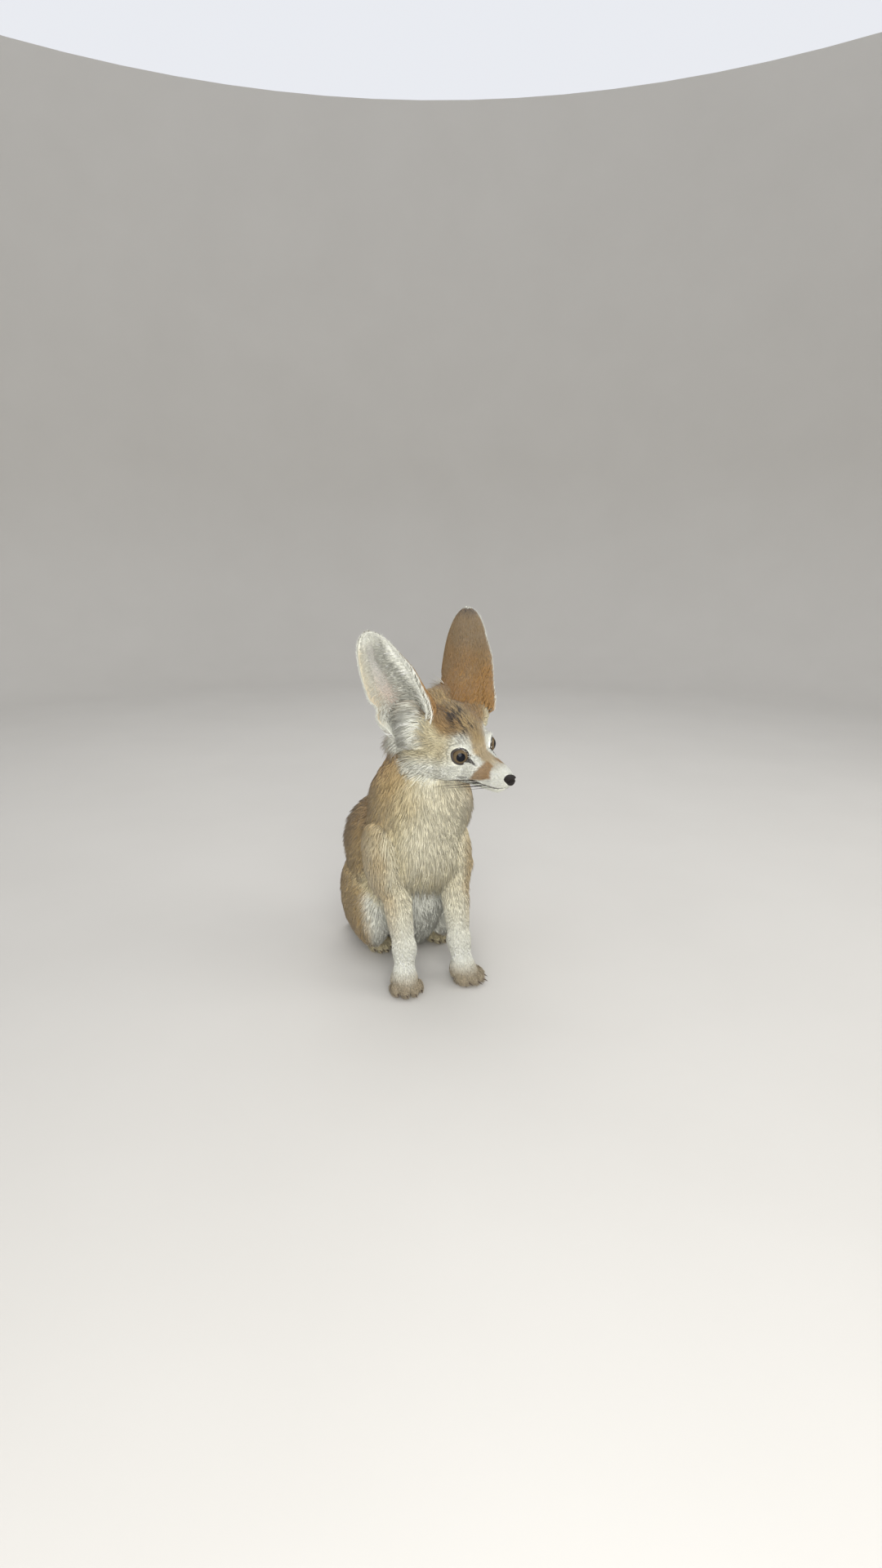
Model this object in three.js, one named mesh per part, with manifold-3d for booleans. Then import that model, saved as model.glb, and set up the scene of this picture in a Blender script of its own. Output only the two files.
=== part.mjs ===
// A fennec fox, life size, sitting on its haunches with its head turned to its left.
// Millimetres, +Z up. The fox faces -Y, and +X is its left side. It rests on the plane z = 0.
import * as THREE from "three";
import { mergeVertices } from "three/addons/utils/BufferGeometryUtils.js";
import Module from "manifold-3d";

const wasm = await Module();
wasm.setup();

// Driving dimensions
const GAP = 0.3; // between neighbouring pieces
const CHEST_WIDTH = 84;
const HAUNCH_REACH = 53; // from the middle plane to the outside of a thigh
const SHOULDER_SPREAD = { right: 33, left: 28 };
const PAW_SPREAD = 26; // each foreleg's distance from the middle plane, at the wrist
const HIND_PAW_SPREAD = { right: 25, left: 30 };
const LEFT_PAW_TURN = 30; // degrees, the left forepaw turned outward
const EYE_RADIUS = 7.9;
const EYE_SPREAD = 15; // each eye's centre from the head's middle plane
const LID_THICKNESS = 1.5;
const EAR_LENGTH = 88; // along the ear, from its seat in the head to its tip
const EAR_HALF_WIDTH = 22;
const EAR_THICKNESS = 2.6;
const HEAD_PLACE = [24, -30, 206]; // the middle of the braincase
const HEAD_TURN = 25; // degrees to its left
const HEAD_NOD = 9; // degrees nose down
const HEAD_TILT = 7; // degrees, left side up
const TAIL_RADIUS = 21;

const V = (x, y, z) => new THREE.Vector3(x, y, z);
const point = (a) => new THREE.Vector3(...a);
const radians = THREE.MathUtils.degToRad;
const mix = THREE.MathUtils.lerp;

// Coat colours
const coat = (color, roughness = 0.9) => new THREE.MeshStandardMaterial({ color, roughness, metalness: 0 });
const SAND = coat("#b99a6c");
const CREAM = coat("#d8cdb0");
const WHITE = coat("#dcd8c6");
const RUFOUS = coat("#a8793f");
const DARK = coat("#3a2a1e");
const EYE = coat("#2a170c", 0.08);
const NOSE = coat("#2b2122", 0.35);

// A field gives a point's distance from a form's skin, negative inside it.
function ball(centre, radii, turn = [0, 0, 0]) {
  const c = point(centre);
  const back = new THREE.Quaternion().setFromEuler(new THREE.Euler(...turn.map(radians))).invert();
  const q = V(0, 0, 0);
  return (p) => {
    q.copy(p).sub(c).applyQuaternion(back);
    const k0 = Math.hypot(q.x / radii[0], q.y / radii[1], q.z / radii[2]);
    const k1 = Math.hypot(q.x / radii[0] ** 2, q.y / radii[1] ** 2, q.z / radii[2] ** 2);
    return k1 < 1e-9 ? -Math.min(...radii) : (k0 * (k0 - 1)) / k1;
  };
}

function limb(from, to, radiusFrom, radiusTo) {
  const a = point(from);
  const along = point(to).sub(a);
  const length2 = along.lengthSq();
  const q = V(0, 0, 0);
  return (p) => {
    q.copy(p).sub(a);
    const t = THREE.MathUtils.clamp(q.dot(along) / length2, 0, 1);
    return q.addScaledVector(along, -t).length() - mix(radiusFrom, radiusTo, t);
  };
}

// Fields joined with a soft crease of width k.
function join(k, ...fields) {
  return (p) =>
    fields.reduce((nearest, field) => {
      const d = field(p);
      const h = Math.max(k - Math.abs(nearest - d), 0) / k;
      return Math.min(nearest, d) - (h * h * k) / 4;
    }, 1e9);
}

// The distance along a ray to where the field reaches the level grow.
function reach(field, from, direction, grow) {
  const p = V(0, 0, 0);
  const level = (r) => field(p.copy(from).addScaledVector(direction, r)) - grow;
  let inner = 0;
  let outer = 1.5;
  while (level(outer) < 0) [inner, outer] = [outer, outer + 1.5];
  for (let i = 0; i < 16; i++) {
    const middle = (inner + outer) / 2;
    if (level(middle) < 0) inner = middle;
    else outer = middle;
  }
  return outer;
}

// A closed skin for a field: rings round an axis and domes at its ends, each corner drawn out to the skin.
function wrap(field, axis, options) {
  const { rings = 12, sides = 16, domes = 4, grow = 0, ease = (t) => t, side = V(1, 0, 0) } = options;
  const curve = new THREE.CatmullRomCurve3(axis.map(point), false, "centripetal");
  const positions = [];
  const index = [];
  const add = (from, direction) => {
    const p = from.clone().addScaledVector(direction, reach(field, from, direction, grow));
    positions.push(p.x, p.y, p.z);
    return positions.length / 3 - 1;
  };
  const rows = [];
  const addRow = (t, tip) => {
    const from = curve.getPoint(t);
    const along = curve.getTangent(t);
    const right = side.clone().addScaledVector(along, -side.dot(along)).normalize();
    const up = along.clone().cross(right);
    const row = [];
    for (let i = 0; i < sides; i++) {
      const turn = (2 * Math.PI * i) / sides;
      const outward = right.clone().multiplyScalar(Math.cos(turn)).addScaledVector(up, Math.sin(turn));
      row.push(add(from, outward.multiplyScalar(Math.cos(tip)).addScaledVector(along, Math.sin(tip)).normalize()));
    }
    rows.push(row);
  };
  const start = add(curve.getPoint(0), curve.getTangent(0).negate());
  for (let i = 1; i <= domes; i++) addRow(0, (-Math.PI / 2) * (1 - i / (domes + 1)));
  for (let i = 0; i <= rings; i++) addRow(ease(i / rings), 0);
  for (let i = 1; i <= domes; i++) addRow(1, (Math.PI / 2) * (i / (domes + 1)));
  const end = add(curve.getPoint(1), curve.getTangent(1));
  for (let i = 0; i < sides; i++) {
    const j = (i + 1) % sides;
    index.push(start, rows[0][j], rows[0][i]);
    for (let r = 0; r + 1 < rows.length; r++) {
      index.push(rows[r][i], rows[r][j], rows[r + 1][j], rows[r][i], rows[r + 1][j], rows[r + 1][i]);
    }
    index.push(end, rows.at(-1)[i], rows.at(-1)[j]);
  }
  return new THREE.BufferGeometry()
    .setAttribute("position", new THREE.Float32BufferAttribute(positions, 3))
    .setIndex(index);
}

// Seeded random numbers from 0 to 1, so every lock of hair falls where it fell before.
function seeded(seed) {
  let state = seed;
  return () => {
    state = (state * 1664525 + 1013904223) % 4294967296;
    return state / 4294967296;
  };
}

function normalAt(field, p) {
  const step = 0.4;
  const slope = (dx, dy, dz) => field(p.clone().add(V(dx, dy, dz))) - field(p.clone().sub(V(dx, dy, dz)));
  return V(slope(step, 0, 0), slope(0, step, 0), slope(0, 0, step)).normalize();
}

// A flat, pointed lock of hair that follows a field's skin: its root is sunk and its tip stands off.
function lock(field, root, lie, { length, width, thick = 2, lift = 2.2, sink = 1.5 }) {
  const rows = [
    [0, 0.7, 0.9],
    [0.34, 1, 1],
    [0.7, 0.66, 0.7],
    [1, 0, 0],
  ];
  const positions = [];
  let at = root.clone();
  let reached = 0;
  for (const [t, broad, deep] of rows) {
    const heading = lie.clone().addScaledVector(normalAt(field, at), -lie.dot(normalAt(field, at))).normalize();
    at = at.clone().addScaledVector(heading, (t - reached) * length);
    reached = t;
    const normal = normalAt(field, at);
    at.addScaledVector(normal, mix(-sink, lift, t) - field(at));
    const across = heading.clone().cross(normal).normalize().multiplyScalar((width / 2) * broad);
    const up = normal.multiplyScalar((thick / 2) * deep);
    const corners = t === 1 ? [at] : [
      at.clone().add(across),
      at.clone().add(up),
      at.clone().sub(across),
      at.clone().sub(up),
    ];
    positions.push(...corners.flatMap((p) => [p.x, p.y, p.z]));
  }
  const index = [0, 1, 2, 0, 2, 3];
  for (let row = 0; row < 2; row++) {
    for (let i = 0; i < 4; i++) {
      const [p, q] = [row * 4 + i, row * 4 + ((i + 1) % 4)];
      index.push(p, p + 4, q, q, p + 4, q + 4);
    }
  }
  for (let i = 0; i < 4; i++) index.push(8 + i, 12, 8 + ((i + 1) % 4));
  return new THREE.BufferGeometry()
    .setAttribute("position", new THREE.Float32BufferAttribute(positions, 3))
    .setIndex(index);
}

// The point of a field's skin met from an inner point in some direction.
function onSkin(field, from, direction) {
  const unit = direction.clone().normalize();
  return from.clone().addScaledVector(unit, reach(field, from, unit, 0));
}

// Solids: closed geometries that are joined and cut.
function solid(geometry) {
  const bare = geometry.clone();
  bare.deleteAttribute("normal");
  bare.deleteAttribute("uv");
  const merged = mergeVertices(bare, 1e-4);
  const made = new wasm.Manifold(
    new wasm.Mesh({
      numProp: 3,
      vertProperties: merged.attributes.position.array,
      triVerts: new Uint32Array(merged.index.array),
    }),
  );
  if (!(made.volume() > 0)) throw new Error("a geometry is inside out");
  return made;
}

const joined = (geometries) => geometries.map(solid).reduce((all, one) => all.add(one));

const largest = (made) =>
  made.decompose().reduce((best, piece) => (piece.volume() > best.volume() ? piece : best));

function box(low, high) {
  const size = point(high).sub(point(low));
  const middle = point(high).add(point(low)).multiplyScalar(0.5);
  return solid(new THREE.BoxGeometry(size.x, size.y, size.z).translate(middle.x, middle.y, middle.z));
}

// The half of space beyond a plane, as a big box whose near face is the plane.
function beyond(origin, direction, size = 400) {
  const turn = new THREE.Quaternion().setFromUnitVectors(V(0, 0, 1), direction.clone().normalize());
  const geometry = new THREE.BoxGeometry(size, size, size).translate(0, 0, size / 2).applyQuaternion(turn);
  return solid(geometry.translate(origin.x, origin.y, origin.z));
}

const FLOOR = box([-400, -400, -50], [400, 400, 0]);
const rested = (made) => made.subtract(FLOOR);

const fox = new THREE.Group();
function mesh(name, made, material, parent = fox) {
  const data = largest(made).getMesh();
  const positions = new Float32Array(data.numVert * 3);
  for (let i = 0; i < data.numVert; i++) {
    positions.set(data.vertProperties.subarray(i * data.numProp, i * data.numProp + 3), i * 3);
  }
  const geometry = new THREE.BufferGeometry()
    .setAttribute("position", new THREE.BufferAttribute(positions, 3))
    .setIndex(new THREE.BufferAttribute(data.triVerts, 1));
  geometry.computeVertexNormals();
  const shown = new THREE.Mesh(geometry, material);
  shown.name = name;
  parent.add(shown);
}

// The head's own frame: its origin is the middle of the braincase, and it faces -Y there too.
const head = new THREE.Group();
head.position.set(...HEAD_PLACE);
head.rotation.set(radians(HEAD_NOD), radians(-HEAD_TILT), radians(HEAD_TURN), "ZXY");
head.updateMatrix();
fox.add(head);
const toBody = (made) => made.transform(head.matrix.elements);
const toHead = (made) => made.transform(head.matrix.clone().invert().elements);

// Trunk: rump, belly, chest and the neck that leans towards the head.
const trunkField = join(
  14,
  ball([0, 62, 46], [39, 46, 49], [-20, 0, 0]),
  ball([0, 36, 84], [46, 44, 52], [-28, 0, 0]),
  ball([0, 20, 58], [31, 34, 50]),
  ball([0, 0, 118], [CHEST_WIDTH / 2, 46, 50], [-10, 0, 0]),
  ball([0, 42, 106], [48, 38, 42]),
  ball([6, -3, 150], [41, 38, 38]),
  limb([4, 2, 160], [14, -7, 200], 33, 32),
);
const TRUNK_AXIS = [
  [0, 66, 40],
  [0, 42, 78],
  [1, 6, 118],
  [5, -2, 155],
  [16, -13, 200],
];
const trunkShape = (grow) => wrap(trunkField, TRUNK_AXIS, { rings: 13, sides: 24, domes: 5, grow });
const trunk = solid(trunkShape(0));
const trunkGrown = solid(trunkShape(GAP));

// The plane between neck and torso.
const neckPlane = V(6, -3, 160);
const neckUp = V(0.2, -0.15, 1).normalize();
const aboveTorso = beyond(neckPlane, neckUp);
const belowNeck = beyond(neckPlane.clone().addScaledVector(neckUp, GAP), neckUp.clone().negate());

// Head without ears, jaw and nose.
const skullField = join(
  9,
  ball([0, 8, 3], [27, 31, 25]),
  ball([-9, 26, 18], [17, 13, 15]),
  ball([9, 26, 18], [17, 13, 15]),
  ball([0, -10, 2], [19, 17, 15]),
  ball([-14, -17, -4], [8, 9, 9]),
  ball([14, -17, -4], [8, 9, 9]),
  ball([-16, -4, -15], [14, 20, 14]),
  ball([16, -4, -15], [14, 20, 14]),
  ball([-22, 14, -17], [14, 18, 19]),
  ball([22, 14, -17], [14, 18, 19]),
  ball([-24, 20, -2], [13, 15, 13], [0, -18, 0]),
  ball([24, 20, -2], [13, 15, 13], [0, 18, 0]),
  ball([-24, 5, 10], [14, 14, 15]),
  ball([24, 5, 10], [14, 14, 15]),
  limb([0, -22, -10], [0, -54, -16.5], 11.5, 6),
  limb([-12, -12, -14], [-4.5, -46, -17.5], 11, 6),
  limb([12, -12, -14], [4.5, -46, -17.5], 11, 6),
  limb([-6, -22, -20], [-4, -50, -19], 8, 5),
  limb([6, -22, -20], [4, -50, -19], 8, 5),
);
const SKULL_AXIS = [
  [0, 14, 0],
  [0, -8, -4],
  [0, -30, -12],
  [0, -54, -17],
];
const skullEase = (t) => 1 - (1 - t) ** 1.25;
const skullShape = (grow) => wrap(skullField, SKULL_AXIS, { rings: 15, sides: 24, domes: 5, grow, ease: skullEase });

const jawField = join(6, limb([0, 0, -24], [0, -47, -24.4], 10, 4.6), limb([0, -36, -25], [0, -49, -24], 4.8, 4.2));
const JAW_AXIS = [
  [0, -4, -25],
  [0, -48, -25],
];
const jawShape = (grow) => solid(wrap(jawField, JAW_AXIS, { rings: 6, sides: 10, domes: 3, grow }));

// Eyes sit in sockets, between lids that leave an almond open.
const eyeCentre = (side) => V(side * EYE_SPREAD, -20, -3);
function eyeBall(side, grow) {
  const at = eyeCentre(side);
  return solid(new THREE.SphereGeometry(EYE_RADIUS + grow, 14, 9).translate(at.x, at.y, at.z));
}
function lidOpening(side) {
  const gaze = V(side * 0.57, -0.82, 0.08).normalize();
  const turn = new THREE.Quaternion().setFromUnitVectors(V(0, 0, 1), gaze);
  const almond = new THREE.SphereGeometry(1, 14, 7).scale(7.6, 6.8, 9);
  almond.rotateZ(side * 0.35).applyQuaternion(turn);
  const at = eyeCentre(side).addScaledVector(gaze, EYE_RADIUS + LID_THICKNESS);
  return solid(almond.translate(at.x, at.y, at.z));
}

// The nose: a pad, wide above and drawn in towards the lip, with a nostril on each side.
const noseField = join(2, ball([0, -60, -14], [5.2, 4.4, 3.8]), ball([0, -60.5, -17.4], [2.6, 3.2, 3]));
const NOSE_AXIS = [
  [0, -57.5, -15],
  [0, -60.5, -15],
];
const noseShape = (grow) => solid(wrap(noseField, NOSE_AXIS, { rings: 2, sides: 14, domes: 3, grow }));
function nostril(side) {
  const dent = new THREE.SphereGeometry(1, 7, 5).scale(1.5, 2.4, 1.1).rotateZ(side * 0.6);
  return solid(dent.translate(side * 2.9, -63.9, -14.4));
}

let skull = solid(skullShape(0));
for (const side of [-1, 1]) skull = skull.add(eyeBall(side, LID_THICKNESS));
for (const side of [-1, 1]) skull = skull.subtract(lidOpening(side)).subtract(eyeBall(side, GAP));
const skullGrown = solid(skullShape(GAP));
skull = skull.subtract(noseShape(GAP));

// Cheek ruffs: short locks swept back and down.
const cheekRandom = seeded(7);
const cheekLocks = [];
for (const side of [-1, 1]) {
  for (let i = 0; i < 6; i++) {
    const from = V(side * 20, mix(-2, 16, (i % 3) / 2) + cheekRandom() * 3, -12);
    const out = V(side, 0.1, mix(-0.2, -1.2, Math.floor(i / 3) + cheekRandom() * 0.3));
    const root = onSkin(skullField, from, out);
    const lie = V(side * 0.2, 1, -0.7 + cheekRandom() * 0.3).normalize();
    cheekLocks.push(lock(skullField, root, lie, { length: 17, width: 8, thick: 2, lift: 2.6 }));
  }
}
skull = skull.add(joined(cheekLocks).subtract(toHead(trunkGrown)));
mesh("head", skull, SAND, head);
mesh("lower_jaw", jawShape(0).subtract(skullGrown), WHITE, head);
mesh("nose", [-1, 1].reduce((made, side) => made.subtract(nostril(side)), noseShape(0)), NOSE, head);
mesh("eye_right", eyeBall(-1, 0), EYE, head);
mesh("eye_left", eyeBall(1, 0), EYE, head);

// Ears: a leaf rolled into a cup, nearly a tube where it is seated and open towards its tip. u runs from
// its inner edge, -1, to its outer edge, 1, and v from its seat, 0, to its tip, 1.
function ear(side, swing, frontWidth) {
  const across = 10;
  const along = 13;
  const seat = V(side * 27.5, 19, 6);
  const lean = V(side * 0.33, 0.29, 1).normalize();
  const facing = V(side * Math.sin(radians(swing)), -Math.cos(radians(swing)), 0);
  facing.addScaledVector(lean, -facing.dot(lean)).normalize();
  const outward = lean.clone().cross(facing).multiplyScalar(side);
  const positions = [];
  const corner = (u, v, offset) => {
    const flare = mix(u < 0 ? frontWidth : 0.62, 1, THREE.MathUtils.smoothstep(v, 0, 0.22));
    const pocket = u < 0 ? 0 : 3.6 * Math.exp(-(((v - 0.33) / 0.055) ** 2)) * u;
    const width = EAR_HALF_WIDTH * (1 - Math.min(v, 0.998) ** 3.1) ** 0.5 * flare - pocket;
    const bulge = 10 * (1 - THREE.MathUtils.smoothstep(v, 0.05, 0.5));
    const depth = mix(17, 7, v ** 0.8) * (1 - Math.min(v, 0.99) ** 4) ** 0.5 + bulge;
    const opening = radians(u < 0 ? mix(118, 74, v ** 0.7) : mix(104, 72, v ** 0.6));
    const turn = u * opening;
    const wall = offset * (1 - 0.5 * u ** 4);
    const p = seat.clone().addScaledVector(lean, v * EAR_LENGTH);
    p.addScaledVector(facing, -(depth + wall) * Math.cos(turn) + (depth - 2 * bulge) * 0.3);
    p.addScaledVector(outward, (width + wall) * Math.sin(turn));
    positions.push(p.x, p.y, p.z);
    return positions.length / 3 - 1;
  };
  const half = EAR_THICKNESS / 2;
  const rows = [];
  for (let j = 0; j <= along; j++) {
    const v = (j / along) ** 0.85;
    const row = [];
    for (let i = 0; i <= across; i++) row.push(corner((2 * i) / across - 1, v, half));
    for (let i = across; i >= 0; i--) row.push(corner((2 * i) / across - 1, v, -half));
    rows.push(row);
  }
  const index = [];
  const n = rows[0].length;
  for (let j = 0; j < along; j++) {
    for (let i = 0; i < n; i++) {
      const k = (i + 1) % n;
      index.push(rows[j][i], rows[j][k], rows[j + 1][k], rows[j][i], rows[j + 1][k], rows[j + 1][i]);
    }
  }
  for (let i = 0; i < across; i++) {
    const k = n - 1 - i;
    index.push(rows[0][i], rows[0][k], rows[0][k - 1], rows[0][i], rows[0][k - 1], rows[0][i + 1]);
    const top = rows[along];
    index.push(top[i], top[k - 1], top[k], top[i], top[i + 1], top[k - 1]);
  }
  const geometry = new THREE.BufferGeometry()
    .setAttribute("position", new THREE.Float32BufferAttribute(positions, 3))
    .setIndex(index);
  let volume = 0;
  const [a, b, c] = [V(0, 0, 0), V(0, 0, 0), V(0, 0, 0)];
  for (let i = 0; i < index.length; i += 3) {
    a.fromArray(positions, index[i] * 3);
    b.fromArray(positions, index[i + 1] * 3);
    c.fromArray(positions, index[i + 2] * 3);
    volume += a.dot(b.cross(c));
  }
  if (volume < 0) {
    for (let i = 0; i < index.length; i += 3) [index[i + 1], index[i + 2]] = [index[i + 2], index[i + 1]];
    geometry.setIndex(index);
  }
  let cup = solid(geometry);
  const random = seeded(side + 20);
  for (let i = 0; i < 5; i++) {
    const v = mix(0.16, 0.6, (i + random() * 0.5) / 4.5);
    const corners = positions.length;
    corner(-0.86, v, -half);
    const root = point(positions.splice(corners));
    const plane = (p) => p.clone().sub(root).dot(facing);
    const lie = outward.clone().addScaledVector(lean, 0.5 + random() * 0.4).normalize();
    cup = cup.add(solid(lock(plane, root, lie, { length: 14, width: 5, thick: 1.5, lift: -1, sink: 0.4 })));
  }
  return cup;
}
mesh("ear_right", ear(-1, 58, 0.62).subtract(skullGrown).subtract(toHead(trunkGrown)), CREAM, head);
mesh("ear_left", ear(1, 108, 0.9).subtract(skullGrown).subtract(toHead(trunkGrown)), CREAM, head);

// The neck's ruff and the bib on the chest hang in locks, each row over the next.
function ruff(levels, spread, count, seed, size) {
  const random = seeded(seed);
  const locks = [];
  for (const [x, y, z] of levels) {
    for (let i = 0; i < count; i++) {
      const turn = radians(mix(-spread, spread, (i + 0.5) / count) + (random() - 0.5) * 12);
      const out = V(Math.sin(turn), -Math.cos(turn), 0);
      const root = onSkin(trunkField, V(x, y, z + (random() - 0.5) * 5), out);
      const lie = V((random() - 0.5) * 0.5 - x * 0.004, -0.1, -1).normalize();
      locks.push(lock(trunkField, root, lie, { length: size * mix(0.85, 1.2, random()), width: size * 0.42 }));
    }
  }
  return joined(locks);
}
const NECK_ROWS = [
  [10, -8, 184],
  [7, -5, 173],
];
const BIB_ROWS = [
  [2, 0, 146],
  [0, 0, 130],
  [0, 0, 114],
];
const neckLocks = ruff(NECK_ROWS, 80, 4, 3, 30);
const bibLocks = ruff(BIB_ROWS, 36, 3, 9, 30);
const neckPiece = trunk.add(neckLocks).subtract(belowNeck.intersect(trunkGrown));
mesh("neck", neckPiece.subtract(toBody(skullGrown.add(jawShape(GAP)))), CREAM);

// Haunches
for (const side of [-1, 1]) {
  const name = side < 0 ? "right" : "left";
  const thighField = join(
    10,
    ball([side * (HAUNCH_REACH - 22), 46, 48], [22, 41, 42], [-18, 0, side * -4]),
    ball([side * (HAUNCH_REACH - 20), 22, 40], [18, 20, 28]),
  );
  const thighAxis = [
    [side * (HAUNCH_REACH - 22), 66, 48],
    [side * (HAUNCH_REACH - 21), 24, 46],
  ];
  const thighShape = (grow) => solid(wrap(thighField, thighAxis, { rings: 6, sides: 16, domes: 3, grow }));
  mesh("thigh_" + name, rested(thighShape(0).subtract(trunkGrown)), SAND);
  const x = side * HIND_PAW_SPREAD[name];
  const footField = join(
    4,
    limb([side * 34, 84, 12], [x, 40, 7.5], 10, 7),
    limb([x, 44, 7.5], [x, 30, 6], 8.5, 8),
  );
  const footAxis = [
    [side * 34, 84, 12],
    [x, 50, 7.5],
    [x, 26, 6],
  ];
  const sole = solid(wrap(footField, footAxis, { rings: 6, sides: 12, domes: 3 }));
  const foot = rested(sole.add(toes(x, 24, { reach: 8.5, spread: 0.85 })));
  mesh("hind_foot_" + name, foot.subtract(thighShape(GAP)).subtract(trunkGrown), CREAM);
}

// Four toes side by side, each with a claw; x and y are the middle of the two front ones.
function toes(x, y, { reach, spread = 1, turn = 0 }) {
  const claw = new THREE.ConeGeometry(1.5, 7, 4).rotateX(Math.PI / 2 + 0.3).rotateZ(Math.PI);
  const places = [
    [-9, 5, 3.6],
    [-3.3, 0, 3.9],
    [3.3, 0, 3.9],
    [9, 5, 3.6],
  ];
  return places
    .map(([dx, dy, half]) => {
      const pad = new THREE.SphereGeometry(1, 7, 6).scale(half * spread, reach, 5.4).translate(dx * spread, dy, 4.6);
      const nail = claw.clone().translate(dx * spread, dy - reach - 1.2, 3.6);
      return solid(pad.rotateZ(turn).translate(x, y, 0)).add(solid(nail.rotateZ(turn).translate(x, y, 0)));
    })
    .reduce((all, toe) => all.add(toe));
}

// Forelegs
let legsGrown = FLOOR;
for (const side of [-1, 1]) {
  const name = side < 0 ? "right" : "left";
  const x = side * PAW_SPREAD;
  const turn = side < 0 ? 0 : radians(LEFT_PAW_TURN);
  const paw = [x + 6 * Math.sin(turn), -46 - 6 * Math.cos(turn), 6];
  const legField = join(
    7,
    ball([side * SHOULDER_SPREAD[name], -12, 106], [15, 26, 34], [-8, 0, 0]),
    limb([side * 27, -20, 98], [side * 24, -42, 34], 14, 8.4),
    limb([side * 24, -42, 34], [x, -48, 10], 8.6, 9),
    limb([x, -46, 9], paw, 10, 8.5),
  );
  const legAxis = [
    [side * 31, -13, 112],
    [side * 27, -24, 90],
    [side * 24, -40, 40],
    [side * 25, -46, 12],
    paw,
  ];
  const legShape = (grow) => solid(wrap(legField, legAxis, { rings: 14, sides: 14, domes: 3, grow }));
  legsGrown = legsGrown.add(legShape(GAP));
  const tips = toes(x + 12 * Math.sin(turn), -46 - 12 * Math.cos(turn), { reach: 8, spread: 1.1, turn });
  const leg = rested(legShape(0).add(tips)).subtract(trunkGrown);
  const wrist = V(x, -46, 17);
  const down = V(0, -0.2, -1).normalize();
  mesh("foreleg_" + name, leg.subtract(beyond(wrist, down)), CREAM);
  mesh("forepaw_" + name, leg.intersect(beyond(wrist.clone().addScaledVector(down, GAP), down)), CREAM);
}

const waist = V(0, 30, 94);
const waistUp = V(0, -0.6, 0.8);
const chestShape = trunk.add(bibLocks.subtract(legsGrown)).subtract(aboveTorso.intersect(trunkGrown));
mesh("chest", chestShape.intersect(beyond(waist.clone().addScaledVector(waistUp, GAP), waistUp)), SAND);
mesh("hindquarters", rested(trunk.subtract(beyond(waist, waistUp))), SAND);

// Tail, laid on the floor behind and curving to the fox's left.
const TAIL_LINE = [
  [0, 92, 20],
  [8, 118, 18],
  [28, 146, 18],
  [62, 168, 17],
  [100, 180, 14],
];
const tailCurve = new THREE.CatmullRomCurve3(TAIL_LINE.map(point), false, "centripetal");
const tailRadius = (t) => TAIL_RADIUS * mix(0.62, 0.92, Math.sin(Math.PI * Math.min(1, t * 0.85 + 0.12)) ** 0.7);
const tailField = (p) => {
  let nearest = 1e9;
  for (let i = 0; i <= 24; i++) {
    const t = i / 24;
    const narrowed = t > 0.82 ? 1 - (t - 0.82) * 3 : 1;
    nearest = Math.min(nearest, p.distanceTo(tailCurve.getPoint(t)) - tailRadius(t) * narrowed);
  }
  return nearest;
};
const tailRandom = seeded(11);
const tailLocks = [];
for (let row = 0; row < 5; row++) {
  for (let i = 0; i < 4; i++) {
    const t = mix(0.16, 0.84, (row + (tailRandom() - 0.5) * 0.3) / 4);
    const along = tailCurve.getTangent(Math.min(t, 1));
    const side = along.clone().cross(V(0, 0, 1)).normalize();
    const turn = radians(mix(-118, 118, (i + 0.5 * (row % 2) + tailRandom() * 0.3) / 4));
    const out = side.multiplyScalar(Math.sin(turn)).addScaledVector(V(0, 0, 1), Math.cos(turn));
    const root = onSkin(tailField, tailCurve.getPoint(Math.min(t, 1)), out);
    const length = 40 * mix(0.85, 1.15, tailRandom());
    tailLocks.push(lock(tailField, root, along.addScaledVector(out, 0.2), { length, width: 16, thick: 3.6, lift: 3.5 }));
  }
}
const tailCore = wrap(tailField, TAIL_LINE, { rings: 12, sides: 12, domes: 3, side: V(0, 0, 1) });
const tailShape = rested(solid(tailCore).add(joined(tailLocks))).subtract(trunkGrown);
let rest = tailShape;
for (const [name, t, material] of [
  ["tail_root", 0.46, SAND],
  ["tail_end", 0.78, SAND],
]) {
  const cut = tailCurve.getPoint(t);
  const along = tailCurve.getTangent(t);
  mesh(name, rest.subtract(beyond(cut, along)), material);
  rest = rest.intersect(beyond(cut.addScaledVector(along, GAP), along));
}
mesh("tail_tip", rest, DARK);

// The origin is the middle of the bounding box's base.
const bounds = new THREE.Box3().setFromObject(fox, true);
const middle = bounds.getCenter(V(0, 0, 0));
fox.position.set(-middle.x, -middle.y, -bounds.min.z);

export default fox;
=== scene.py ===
"""A fennec fox, life size, sitting on its haunches with its head turned to its left.

Sizes are in millimetres in the fox's own frame: it faces -Y, +X is its left, and the floor is z = 0.
"""

import bpy
import numpy as np
from mathutils import Matrix, Vector
from mathutils.kdtree import KDTree


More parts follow.
